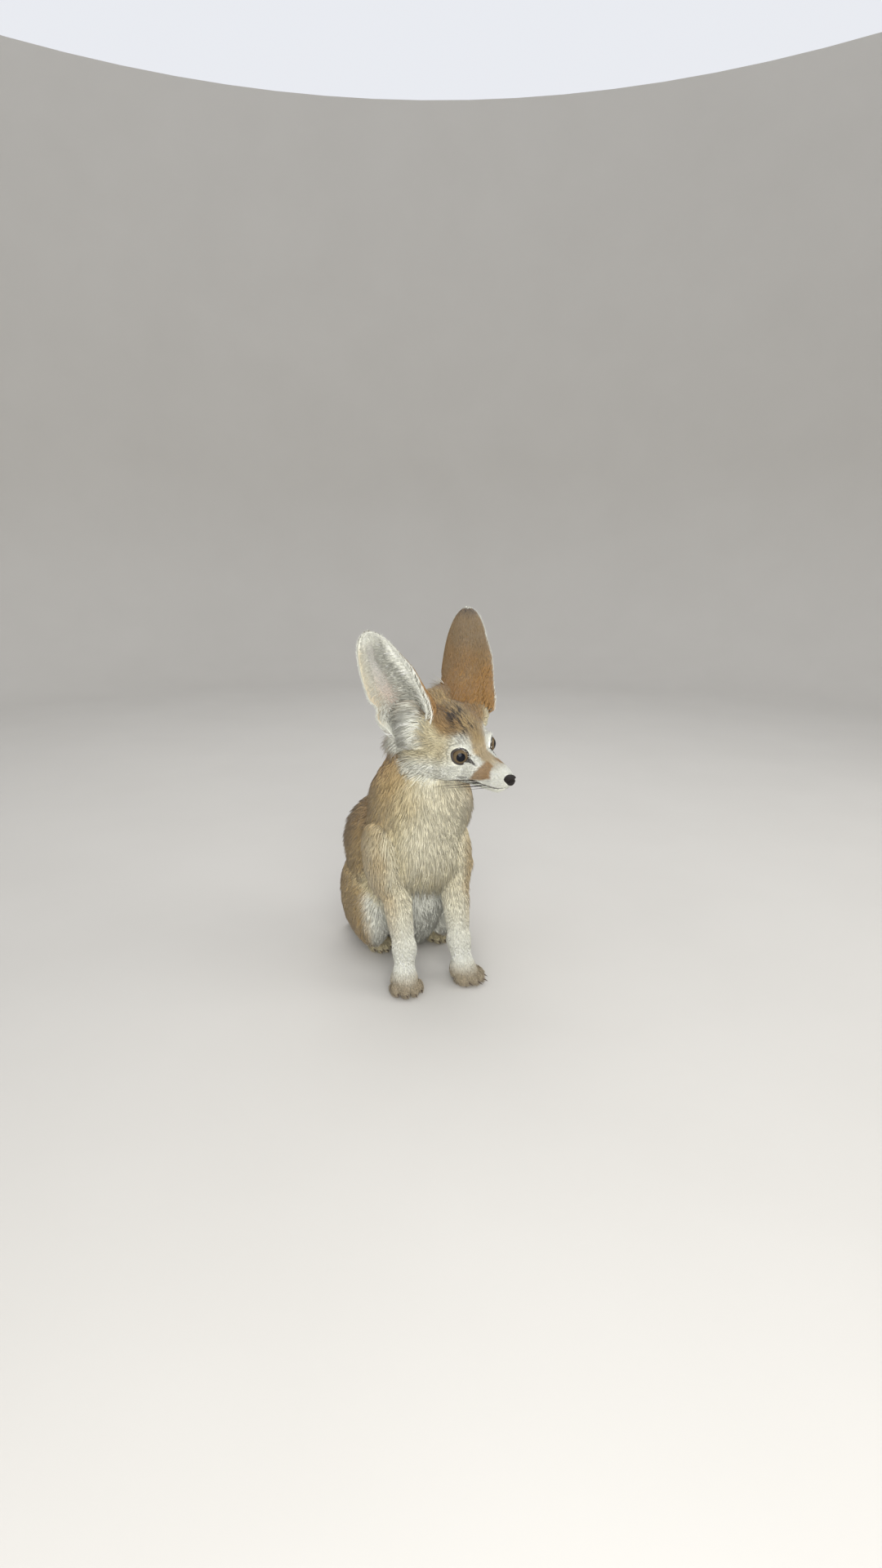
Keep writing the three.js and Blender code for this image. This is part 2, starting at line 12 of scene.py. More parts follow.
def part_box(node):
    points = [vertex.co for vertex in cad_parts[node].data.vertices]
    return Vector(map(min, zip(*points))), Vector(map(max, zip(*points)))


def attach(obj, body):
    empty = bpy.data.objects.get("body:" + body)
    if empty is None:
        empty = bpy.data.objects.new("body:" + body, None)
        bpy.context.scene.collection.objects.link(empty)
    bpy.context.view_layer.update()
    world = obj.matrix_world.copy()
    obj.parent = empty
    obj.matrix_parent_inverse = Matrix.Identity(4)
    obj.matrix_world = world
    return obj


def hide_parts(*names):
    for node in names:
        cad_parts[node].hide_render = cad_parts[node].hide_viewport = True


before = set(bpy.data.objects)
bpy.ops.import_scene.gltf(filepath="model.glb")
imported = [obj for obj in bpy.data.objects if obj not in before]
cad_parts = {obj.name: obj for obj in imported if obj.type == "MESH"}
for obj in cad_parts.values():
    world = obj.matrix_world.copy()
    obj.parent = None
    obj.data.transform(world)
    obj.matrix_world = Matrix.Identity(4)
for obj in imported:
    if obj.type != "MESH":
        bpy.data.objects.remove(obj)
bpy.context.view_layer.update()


# The head's pose. The head has a frame of its own, with its origin in the middle of the braincase,
# turned to the fox's left, nodded and tilted. One eyeball of the solid model tells where the fox stands.

HEAD_PLACE = np.array([24.0, -30.0, 206.0])
HEAD_TURN, HEAD_NOD, HEAD_TILT = np.radians([25.0, 9.0, 7.0])
EYE_SPREAD = 15.0
EYE_RADIUS = 7.9


def turned(x=0.0, y=0.0, z=0.0):
    """The matrix of three turns in radians, about X, then Y, then Z of the turned axes."""
    return np.array(Matrix.Rotation(x, 3, "X") @ Matrix.Rotation(y, 3, "Y") @ Matrix.Rotation(z, 3, "Z"))


HEAD_AXES = turned(z=HEAD_TURN) @ turned(x=HEAD_NOD) @ turned(y=-HEAD_TILT)


def to_body(p):
    return p @ HEAD_AXES.T + HEAD_PLACE


def to_head(p):
    return (p - HEAD_PLACE) @ HEAD_AXES


def eye_centre(side):
    return np.array([side * EYE_SPREAD, -20.0, -3.0])


eye_box = np.array(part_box("eye_right"))
STAND = eye_box.mean(0) * 1000 - to_body(eye_centre(-1))


def unit(v):
    return v / np.maximum(np.linalg.norm(v, axis=-1, keepdims=True), 1e-9)


def rise(low, high, value):
    """0 below low, 1 above high, with a smooth step between them."""
    t = np.clip((value - low) / (high - low), 0, 1)
    return t * t * (3 - 2 * t)


def blended(a, b, t):
    return a + (b - a) * t


# Flesh. The forms of the body, as fields: a field gives each point's distance from a form's surface,
# negative inside it. They are the solid model's own forms, out to the tips of the coat, and the back is
# filled in between nape, shoulders and rump.


def ball(centre, radii, turn=(0, 0, 0)):
    axes = turned(*np.radians(turn))
    radii = np.array(radii, float)

    def field(p):
        q = (p - np.array(centre)) @ axes
        k0 = np.linalg.norm(q / radii, axis=-1)
        k1 = np.linalg.norm(q / radii**2, axis=-1)
        return k0 * (k0 - 1) / np.maximum(k1, 1e-6)

    return field


def limb(start, end, radius_start, radius_end):
    start, end = np.array(start, float), np.array(end, float)
    along = end - start

    def field(p):
        q = p - start
        t = np.clip(q @ along / (along @ along), 0, 1)
        return np.linalg.norm(q - t[..., None] * along, axis=-1) - blended(radius_start, radius_end, t)

    return field


def soft_least(k, distances):
    least = distances[0]
    for d in distances[1:]:
        h = np.maximum(k - np.abs(least - d), 0) / k
        least = np.minimum(least, d) - h * h * k / 4
    return least


def join(k, *fields):
    """Fields joined with a soft crease of width k."""
    return lambda p: soft_least(k, [f(p) for f in fields])


def both(make):
    return make(-1), make(1)


trunk = join(
    14,
    ball([0, 62, 46], [39, 46, 49], [-20, 0, 0]),
    ball([0, 36, 84], [46, 44, 52], [-28, 0, 0]),
    ball([0, 20, 58], [31, 34, 50]),
    ball([0, 0, 118], [42, 46, 50], [-10, 0, 0]),
    ball([0, 42, 106], [48, 38, 42]),
    ball([6, -3, 150], [41, 38, 38]),
    limb([4, 2, 160], [14, -7, 200], 33, 32),
    limb([8, 0, 172], [0, 40, 112], 20, 32),
    *both(lambda s: limb([s * 9, 46, 100], [s * 14, 60, 58], 33, 34)),
)
thighs = both(
    lambda s: join(
        10,
        ball([s * 31, 46, 48], [22, 41, 42], [-18, 0, s * -4]),
        ball([s * 33, 22, 40], [18, 20, 28]),
    )
)
HIND_PAWS = {-1: -25, 1: 30}
hind_feet = both(
    lambda s: join(
        4,
        limb([s * 34, 84, 12], [HIND_PAWS[s], 40, 7.5], 10, 7),
        limb([HIND_PAWS[s], 44, 7.5], [HIND_PAWS[s], 30, 6], 8.5, 8),
    )
)
SHOULDERS = {-1: -33, 1: 28}
PAW_TURNS = {-1: 0.0, 1: 30.0}


def ahead_of_wrist(s, distance):
    """The place in front of a wrist, on the line its forepaw points along."""
    turn = np.radians(PAW_TURNS[s])
    return s * 26 + distance * np.sin(turn), -46 - distance * np.cos(turn)


forelegs = both(
    lambda s: join(
        7,
        ball([SHOULDERS[s], -12, 106], [15, 26, 34], [-8, 0, 0]),
        limb([s * 27, -20, 98], [s * 24, -42, 34], 14, 8.4),
        limb([s * 24, -42, 34], [s * 26, -48, 10], 8.6, 9),
        limb([s * 26, -46, 9], [*ahead_of_wrist(s, 6), 6], 10, 8.5),
    )
)

# Each paw: its middle, how far its toes reach, how far they spread, and its turn. Each toe: how far it
# lies to the side and back from the paw's middle, and its half width.
TOE_HEIGHT = 4.6
TOES = [(-9, 5, 3.6), (-3.3, 0, 3.9), (3.3, 0, 3.9), (9, 5, 3.6)]
PAWS = [(*ahead_of_wrist(s, 12), 8.0, 1.1, PAW_TURNS[s]) for s in (-1, 1)]
PAWS += [(HIND_PAWS[s], 24, 8.5, 0.85, 0.0) for s in (-1, 1)]


def toe_place(paw, dx, dy):
    x, y, _, spread, turn = paw
    c, s = np.cos(np.radians(turn)), np.sin(np.radians(turn))
    return x + c * dx * spread - s * dy, y + s * dx * spread + c * dy


def paw_toes(paw):
    reach, spread, turn = paw[2:]
    toes = []
    for dx, dy, half in TOES:
        middle = [*toe_place(paw, dx, dy), TOE_HEIGHT]
        toes.append(ball(middle, [half * spread, reach, 5.4], [0, 0, turn]))
    return join(1.2, *toes)


toes = [paw_toes(paw) for paw in PAWS]

skull = join(
    9,
    ball([0, 8, 3], [27, 31, 25]),
    *both(lambda s: ball([s * 9, 26, 18], [17, 13, 15])),
    ball([0, -10, 2], [19, 17, 15]),
    *both(lambda s: ball([s * 14, -17, -4], [8, 9, 9])),
    *both(lambda s: ball([s * 16, -4, -15], [14, 20, 14])),
    *both(lambda s: ball([s * 22, 14, -17], [14, 18, 19])),
    *both(lambda s: ball([s * 24, 20, -2], [13, 15, 13], [0, s * 18, 0])),
    *both(lambda s: ball([s * 24, 5, 10], [14, 14, 15])),
    limb([0, -22, -10], [0, -54, -16.5], 11.5, 6),
    *both(lambda s: limb([s * 12, -12, -14], [s * 4.5, -46, -17.5], 11, 6)),
    *both(lambda s: limb([s * 6, -22, -20], [s * 4, -50, -19], 8, 5)),
)
jaw = join(6, limb([0, 0, -24], [0, -47, -24.4], 10, 4.6), limb([0, -36, -25], [0, -49, -24], 4.8, 4.2))


# Skin. One closed skin covers the whole body, and lies under the tips of the coat by the hair's depth:
# deep on the neck and back, almost nothing on the muzzle and toes.

TRUNK_DEPTH = 5.2
THIGH_DEPTH = 4.5
HIND_FOOT_DEPTH = 1.2
TOE_DEPTH = 0.7


def head_depth(h):
    face = blended(0.7, 2.4, rise(-46, -8, h[..., 1]))
    cheek = rise(-6, 14, h[..., 1]) * rise(-2, -16, h[..., 2])
    return face + 1.6 * cheek


def head_skin(p):
    h = to_head(p)
    return soft_least(2.5, [skull(h) + head_depth(h), jaw(h) + 0.8])


def trunk_skin(p):
    return trunk(p) + TRUNK_DEPTH


def thigh_skin(p):
    return np.minimum(thighs[0](p), thighs[1](p)) + THIGH_DEPTH


def foreleg_skin(p):
    depth = blended(1.3, 4.0, rise(40, 100, p[..., 2]))
    return np.minimum(forelegs[0](p), forelegs[1](p)) + depth


def hind_foot_skin(p):
    return np.minimum(hind_feet[0](p), hind_feet[1](p)) + HIND_FOOT_DEPTH


def toe_skin(p):
    return np.minimum.reduce([toe(p) for toe in toes]) + TOE_DEPTH


PARTS = (head_skin, trunk_skin, thigh_skin, foreleg_skin, hind_foot_skin, toe_skin)


def skin_field(p):
    head, body, haunch, leg, foot, toe = [part(p) for part in PARTS]
    body = soft_least(6, [body, haunch])
    body = soft_least(5, [body, leg])
    body = soft_least(3, [body, foot])
    body = soft_least(2.0, [body, toe])
    return np.maximum(soft_least(6, [body, head]), -p[..., 2])


def net(field, xs, ys, zs, pulls=2):
    """A closed surface of quads where a field is zero, on a grid with the given planes."""
    grid = np.stack(np.meshgrid(xs, ys, zs, indexing="ij"), -1).astype(np.float32)
    value = np.concatenate([field(slab)[None] for slab in grid])
    inside = value < 0
    shape = np.array(value.shape) - 1
    corners = [(i, j, k) for i in (0, 1) for j in (0, 1) for k in (0, 1)]

    def corner(array, c):
        return array[c[0] : c[0] + shape[0], c[1] : c[1] + shape[1], c[2] : c[2] + shape[2]]

    count = sum(corner(inside, c).astype(np.int8) for c in corners)
    cells = np.argwhere((count > 0) & (count < 8))
    ids = np.full(shape, -1, np.int64)
    ids[tuple(cells.T)] = np.arange(len(cells))
    total = np.zeros((len(cells), 3))
    hits = np.zeros(len(cells))
    for a in corners:
        for axis in range(3):
            if a[axis]:
                continue
            b = list(a)
            b[axis] = 1
            at_a, at_b = tuple((cells + a).T), tuple((cells + b).T)
            va, vb = value[at_a], value[at_b]
            crossed = (va < 0) != (vb < 0)
            t = np.where(crossed, va / np.where(crossed, va - vb, 1), 0)
            total += np.where(crossed[:, None], blended(grid[at_a], grid[at_b], t[:, None]), 0)
            hits += crossed
    points = total / hits[:, None]
    quads = []
    for axis in range(3):
        nxt, last = (axis + 1) % 3, (axis + 2) % 3
        low = np.take(inside, range(inside.shape[axis] - 1), axis)
        high = np.take(inside, range(1, inside.shape[axis]), axis)
        at = np.argwhere(low != high)
        leaving = low[tuple(at.T)]
        ring = []
        for dn, dl in ((-1, -1), (0, -1), (0, 0), (-1, 0)):
            cell = at.copy()
            cell[:, nxt] += dn
            cell[:, last] += dl
            ring.append(ids[tuple(cell.T)])
        quad = np.stack(ring, 1)
        quads.append(np.where(leaving[:, None], quad, quad[:, ::-1]))
    quads = np.concatenate(quads)
    for _ in range(pulls):
        points = relaxed(points, quads, 0.4)
        points -= field(points)[:, None] * normals(points, quads)
    return points, quads


def relaxed(points, quads, share):
    """Points drawn towards the middle of their neighbours."""
    total = np.zeros_like(points)
    hits = np.zeros(len(points))
    for i in range(4):
        np.add.at(total, quads[:, i], points[quads[:, (i + 1) % 4]])
        np.add.at(hits, quads[:, i], 1)
    return blended(points, total / np.maximum(hits, 1)[:, None], share)


def normals(points, quads):
    across = np.cross(points[quads[:, 2]] - points[quads[:, 0]], points[quads[:, 3]] - points[quads[:, 1]])
    total = np.zeros_like(points)
    for i in range(4):
        np.add.at(total, quads[:, i], across)
    return unit(total)


def planes(*stretches):
    """Grid planes: each stretch is (start, end, spacing)."""
    parts = [np.linspace(a, b, round((b - a) / step), endpoint=False) for a, b, step in stretches]
    return np.concatenate([*parts, [stretches[-1][1]]])


FINE = 0.85
skin_points, skin_quads = net(
    skin_field,
    planes((-58, -16, 1.9), (-16, 62, FINE)),
    planes((-92, 4, FINE), (4, 112, 1.9)),
    planes((-2, 16, 1.0), (16, 166, 1.9), (166, 246, FINE)),
)


# Eyelids. Each eye looks out through a round opening with a dark naked rim, which runs out to a point
# and a short dark streak towards the nose. The lids rise from the eyeball to the face around it.

GAZE_OUT, GAZE_FORWARD, GAZE_UP = 0.57, -0.82, 0.08
LID_THICKNESS = 0.8
RIM_WIDTH = 1.5


def eye_frame(side):
    """The gaze, the direction of the inner corner and the direction across both."""
    gaze = unit(np.array([side * GAZE_OUT, GAZE_FORWARD, GAZE_UP]))
    corner = np.array([side * -15.0, -32.0, -15.0])
    corner = unit(corner - gaze * (corner @ gaze))
    return gaze, corner, np.cross(gaze, corner)


def opening(turn):
    """How far the opening reaches from the gaze at a turn from the inner corner, in millimetres."""
    wide = 6.5 * np.cos(turn) ** 2 + 6.0 * np.sin(turn) ** 2
    inner = 1.9 * np.exp(-((np.angle(np.exp(1j * turn)) / 0.3) ** 2))
    outer = 0.5 * np.exp(-((np.angle(np.exp(1j * (turn - np.pi))) / 0.4) ** 2))
    return wide + inner + outer


def opening_edge(turn):
    """The same reach, measured along the eyeball."""
    return np.arcsin(np.clip(opening(turn) / (EYE_RADIUS + 0.9), 0, 1)) * EYE_RADIUS


def face_distance(origin, direction):
    """How far the face is from points inside the head."""
    near, far = np.zeros(len(direction)), np.full(len(direction), 26.0)
    for _ in range(18):
        middle = (near + far) / 2
        h = origin + direction * middle[:, None]
        outside = skull(h) + head_depth(h) > 0
        near, far = np.where(outside, near, middle), np.where(outside, middle, far)
    return near


def lid_height(side, direction):
    """How far the lids are from the eye's centre, and how far past the opening's edge they lie."""
    gaze, corner, across = eye_frame(side)
    away = np.arccos(np.clip(direction @ gaze, -1, 1)) * EYE_RADIUS
    turn = np.arctan2(direction @ across, direction @ corner)
    past = away - opening_edge(turn)
    face = face_distance(eye_centre(side), direction)
    lip = EYE_RADIUS + LID_THICKNESS * rise(-0.1, 0.7, past)
    return blended(lip, np.maximum(face, EYE_RADIUS + 0.5), rise(1.0, 6.5, past)), past


skin_head = to_head(skin_points)
for side in (-1, 1):
    offset = skin_head - eye_centre(side)
    near = np.flatnonzero(np.linalg.norm(offset, axis=1) < 19)
    direction = unit(offset[near])
    gaze = eye_frame(side)[0]
    distance = np.linalg.norm(offset[near], axis=1)
    height, past = lid_height(side, direction)
    under = np.where(past < 1.2, EYE_RADIUS - 1.2, height - 0.25)
    shown = (direction @ gaze > 0.1) & (past < 6.5)
    distance = np.where(shown, under, distance)
    skin_head[near] = eye_centre(side) + direction * distance[:, None]
skin_points = to_body(skin_head)


# The ears' places in the head's frame. Each ear grows from the side of the crown, leans outward and
# back, and turns its cup its own way.

EAR_LENGTH = 88.0
EAR_HALF_WIDTH = 22.0
EAR_WALL = 1.6


def ear_axes(side):
    """An ear's seat, its lean from seat to tip, where the cup faces, and the way to its outer edge."""
    swing = np.radians(58 if side < 0 else 108)
    seat = np.array([side * 27.5, 19, 6])
    lean = unit(np.array([side * 0.33, 0.29, 1.0]))
    facing = np.array([side * np.sin(swing), -np.cos(swing), 0.0])
    facing = unit(facing - lean * (facing @ lean))
    return seat, lean, facing, np.cross(lean, facing) * side


def in_cup(h, side):
    """1 on the part of the head that lies inside an ear's cup or just before it."""
    seat, lean, facing, outward = ear_axes(side)
    q = h - seat
    v = np.clip(q @ lean / EAR_LENGTH, 0, 1)
    edge = -12 - 9 * rise(0, 0.2, v)
    near = rise(34, 24, np.linalg.norm(q, axis=-1))
    near = near * rise(15, 19, side * h[..., 0])
    return rise(-3, 1, q @ outward - edge) * rise(-20, -14, q @ facing) * rise(-12, -4, q @ lean) * near


def in_cups(h):
    return np.maximum(in_cup(h, -1), in_cup(h, 1))


# Markings. The coat is buff on the back, rufous behind the ears and beside the muzzle, cream on the neck
# and white on the face, belly and legs. Skin and coat take their colour from the same rules.

WHITE = np.array([0.87, 0.87, 0.77])
CREAM = np.array([0.72, 0.64, 0.41])
BUFF = np.array([0.47, 0.34, 0.16])
SAND = np.array([0.32, 0.215, 0.10])
RUFOUS = np.array([0.37, 0.20, 0.055])
BEIGE = np.array([0.52, 0.43, 0.29])
BLACK = np.array([0.030, 0.022, 0.018])


def paint(under, over, amount):
    return blended(under, over, np.clip(amount, 0, 1)[..., None])


def ripple(p, size, seed=0.0):
    """A slow wave over space, from -1 to 1, that breaks up the borders of the markings."""
    q = p / size + seed
    first = np.sin(q[..., 0] * 1.9 + 1.3 * np.sin(q[..., 1] * 1.3 + seed))
    second = np.sin(q[..., 2] * 2.1 + 1.7 * np.sin(q[..., 0] * 0.9 + 2.0))
    third = np.sin(q[..., 1] * 2.3 + 1.1 * np.sin(q[..., 2] * 1.7 + seed * 2))
    return (first + second + third) / 3


def body_colour(p, normal):
    x, y, z = np.moveaxis(p, -1, 0)
    spine = np.interp(z, [0, 40, 78, 118, 155, 200], [70, 62, 36, -2, -14, -24])
    behind = (y - spine) / 34 + 0.16 * ripple(p, 14, 2.0) + 0.25 * normal[..., 1]
    colour = paint(np.broadcast_to(CREAM, p.shape), BUFF, rise(-0.95, 0.15, behind))
    colour = paint(colour, SAND, rise(0.2, 1.2, behind))
    nape = rise(0.1, 0.9, behind) * rise(150, 185, z)
    colour = paint(colour, RUFOUS, 0.4 * nape)
    # Painted shade: the white belly between the forelegs is painted a darker white, for the shade it lies in.
    shaded_belly = rise(0.1, -0.5, normal[..., 1]) * rise(104, 84, z) * rise(34, 22, np.abs(x))
    colour = paint(colour, WHITE * 0.8, shaded_belly)
    middle_x = np.interp(z, [118, 155, 200], [0, 6, 14])
    middle_y = np.interp(z, [118, 155, 200], [0, -3, -7])
    aside = np.abs(np.arctan2(x - middle_x, middle_y - y) - 0.25) + 0.15 * ripple(p, 12, 3.0)
    bib = rise(1.15, 0.45, aside) * rise(95, 120, z)
    return paint(colour, WHITE, 0.4 * bib)


def leg_colour(p, normal):
    x, y, z = np.moveaxis(p, -1, 0)
    outer = rise(0.0, 0.8, normal[..., 0] * np.sign(x)) + 0.3 * ripple(p, 9, 1.0)
    colour = paint(np.broadcast_to(WHITE, p.shape), CREAM, rise(25, 95, z) * 0.7)
    colour = paint(colour, BUFF, outer * rise(30, 95, z) * 0.65)
    return paint(colour, BEIGE * 0.85, rise(24, 8, z) * 0.95)


def thigh_colour(p, normal):
    x, y, z = np.moveaxis(p, -1, 0)
    inner = rise(0.5, -0.3, normal[..., 0] * np.sign(x) + 0.2 * ripple(p, 11)) * rise(20, -0.5, y - 20)
    front = rise(-0.3, -0.85, normal[..., 1]) * rise(86, 60, z) * rise(45, 35, np.abs(x))
    colour = paint(np.broadcast_to(BUFF, p.shape), SAND, 0.25 + 0.35 * ripple(p, 16, 5.0))
    return paint(colour, WHITE, np.maximum(inner, front))


def foot_colour(p, normal):
    hind = rise(-42, -30, p[..., 1])
    colour = paint(np.broadcast_to(BEIGE * 0.8, p.shape), CREAM, 0.8 * hind)
    colour = paint(colour, BUFF, 0.7 * rise(45, 80, p[..., 1]))
    # Painted shade: the sides of the feet and toes that face down towards the floor are darkened towards
    # black.
    return paint(colour, BLACK, rise(0.4, -0.2, normal[..., 2]) * 0.17)


def streak(h, side):
    """1 on the dark wedge that runs from an eye's inner corner towards the nose."""
    gaze, corner, over = eye_frame(side)
    offset = h - eye_centre(side)
    along, off = offset @ corner, np.abs(offset @ over)
    wedge = rise(0.4, -0.3, off - 2.1 + 0.26 * (along - 7)) * rise(5, 6.5, along) * rise(15, 13, along)
    return wedge * rise(0, 3, offset @ gaze)


def lip(h):
    """1 on the dark edge of the upper lip, from under the nose to the corner of the mouth."""
    apart = np.abs(h[..., 2] + 21.4 - 0.06 * (h[..., 1] + 50))
    return rise(1.1, 0.5, apart) * rise(-31, -35, h[..., 1])


def head_colour(p, normal):
    h = to_head(p)
    x, y, z = np.abs(h[..., 0]), h[..., 1], h[..., 2]
    wave = ripple(h, 6, 3.0)
    colour = np.broadcast_to(WHITE, p.shape)
    temple = rise(-26, -8, y) * rise(-15, -6, z + wave) * rise(6, 13, x)
    colour = paint(colour, CREAM, temple * 0.9)
    colour = paint(colour, BUFF, temple * (0.1 + 0.25 * wave))
    crown = rise(1, 10, z + 1.5 * wave - 0.3 * (y + 20))
    crown = crown * rise(30, 22, x - 0.9 * np.minimum(y + 4, 0) + 1.5 * wave)
    colour = paint(colour, BUFF, crown)
    colour = paint(colour, blended(SAND, RUFOUS, 0.4), crown * rise(-30, -6, y + 5 * wave) * 0.9)
    colour = paint(colour, WHITE, in_cups(h))
    bridge = rise(8.0, 4.0, x + 0.5 * wave) * rise(-56, -40, y) * rise(-15, -10, z)
    colour = paint(colour, BUFF, bridge * 0.85)
    brow = np.exp(-(((x - 12) / 5.5) ** 2) - ((y + 22) / 6) ** 2 - ((z - 7.5) / 4) ** 2)
    colour = paint(colour, WHITE, brow * 1.2)
    half = 3.4 - 0.48 * (z + 7)
    patch = rise(1.2, -1.2, np.abs(y + 43.8) + 0.8 * wave - half) * rise(2.5, 4.5, x)
    patch = patch * rise(-1.2, 1.2, z + 20.5 + 0.37 * (y + 35.5))
    patch = patch * rise(-3.5, -7, z)
    colour = paint(colour, RUFOUS, patch * (0.85 + 0.1 * wave))
    nape = rise(20, 34, y) * rise(-22, -4, z)
    colour = paint(colour, RUFOUS, nape * 0.7)
    colour = paint(colour, BLACK, lip(h) * 0.9)
    return paint(colour, BLACK, 0.95 * np.maximum(streak(h, -1), streak(h, 1)))


def part_weights(p):
    """How much each part of the body has to say at a point of the skin."""
    distances = np.stack([part(p) for part in PARTS], -1)
    weights = np.exp(-(distances - distances.min(-1, keepdims=True)) / 1.6)
    return weights / weights.sum(-1, keepdims=True)


def markings(p, normal):
    rules = (head_colour, body_colour, thigh_colour, leg_colour, foot_colour, foot_colour)
    weights = part_weights(p)
    return sum(weights[..., i : i + 1] * rule(p, normal) for i, rule in enumerate(rules))


class Value:
    """A shader socket with arithmetic: numbers through Math nodes, colours through Mix and Vector Math."""

    def __init__(self, tree, socket):
        self.tree, self.socket = tree, socket

    def maths(self, operation, *others):
        inputs = dict(enumerate((self, *others)))
        return self.tree.node("ShaderNodeMath", {"operation": operation}, inputs)

    def __add__(self, other):
        return self.maths("ADD", other)

    def __sub__(self, other):
        return self.maths("SUBTRACT", other)

    def __rsub__(self, other):
        return self.tree.node("ShaderNodeMath", {"operation": "SUBTRACT"}, {0: other, 1: self})

    def __mul__(self, other):
        return self.maths("MULTIPLY", other)

    __radd__, __rmul__ = __add__, __mul__

    def step(self, low, high):
        inputs = {"Value": self, "From Min": low, "From Max": high}
        return self.tree.node("ShaderNodeMapRange", {"interpolation_type": "SMOOTHSTEP"}, inputs)

    def tinted(self, colour, amount):
        """This colour with another laid over it."""
        inputs = {"Factor": amount, 6: self, 7: colour}
        return self.tree.node("ShaderNodeMix", {"data_type": "RGBA"}, inputs, 2)

    def scaled(self, amount):
        return self.tree.node("ShaderNodeVectorMath", {"operation": "SCALE"}, {0: self, "Scale": amount})


class Finish:
    """A material on one Principled shader, with one way to add any node."""

    def __init__(self, name, **constants):
        self.material = bpy.data.materials.new(name)
        self.material.use_nodes = True
        self.nodes = self.material.node_tree.nodes
        self.shader = self.nodes["Principled BSDF"]
        for socket, value in constants.items():
            self.shader.inputs[socket.replace("_", " ")].default_value = value

    def put(self, socket, value):
        if isinstance(value, Value):
            self.material.node_tree.links.new(value.socket, socket)
        elif hasattr(value, "__len__") and len(value) == 3 and socket.type == "RGBA":
            socket.default_value = (*value, 1)
        else:
            socket.default_value = value

    def node(self, kind, settings=None, inputs=None, output=0):
        made = self.nodes.new(kind)
        for name, value in (settings or {}).items():
            setattr(made, name, value)
        for key, value in (inputs or {}).items():
            self.put(made.inputs[key], value)
        return Value(self, made.outputs[output])

    def feed(self, **links):
        for socket, value in links.items():
            self.put(self.shader.inputs[socket.replace("_", " ")], value)
        return self.material

    def place(self):
        return self.node("ShaderNodeTexCoord", output=3)

    def noise(self, place, scale, detail=3.0):
        return self.node("ShaderNodeTexNoise", None, {"Vector": place, "Scale": scale, "Detail": detail})

    def attribute(self, name, output=0):
        return self.node("ShaderNodeAttribute", {"attribute_name": name}, output=output)

    def bump(self, height, strength, distance):
        inputs = {"Height": height, "Strength": strength, "Distance": distance}
        return self.node("ShaderNodeBump", None, inputs)


def skin_finish():
    made = Finish("fox_skin", Roughness=0.75)
    place = made.place()
    hair = made.noise(place, 900.0)
    patch = made.noise(place, 120.0)
    shade = hair * 0.3 + patch * 0.2 + 0.75
    colour = made.attribute("coat_colour").scaled(shade)
    return made.feed(Base_Color=colour, Normal=made.bump(hair, 0.6, 0.0006))


def in_scene(points):
    """Points of the fox's frame as Blender's own, in metres."""
    return (points + STAND) * 0.001


def piece(name, points, faces, material, colours=None):
    """A mesh object from points in the fox's frame, which rides on the one body."""
    faces = faces.tolist() if isinstance(faces, np.ndarray) else faces
    mesh = bpy.data.meshes.new(name)
    mesh.from_pydata(in_scene(points).tolist(), [], faces)
    mesh.shade_smooth()
    if colours is not None:
        stored = mesh.attributes.new("coat_colour", "FLOAT_COLOR", "POINT")
        stored.data.foreach_set("color", np.c_[colours, np.ones(len(colours))].ravel())
    mesh.materials.append(material)
    made = bpy.data.objects.new(name, mesh)
    bpy.context.scene.collection.objects.link(made)
    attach(made, "root")
    return made


SKIN = skin_finish()
skin_normals = normals(skin_points, skin_quads)
skin = piece("skin", skin_points, skin_quads, SKIN, markings(skin_points, skin_normals))
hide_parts("head", "lower_jaw", "neck", "chest", "hindquarters")
for name in ("thigh", "hind_foot", "foreleg", "forepaw"):
    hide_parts(name + "_right", name + "_left")


# Coat. Thousands of small pointed tufts of hair stand on the skin and lie along the body. Each is a bent
# three-sided spike. They are longest on the neck and back and smallest on the face and feet.

BAKE_PATCH = 0.003


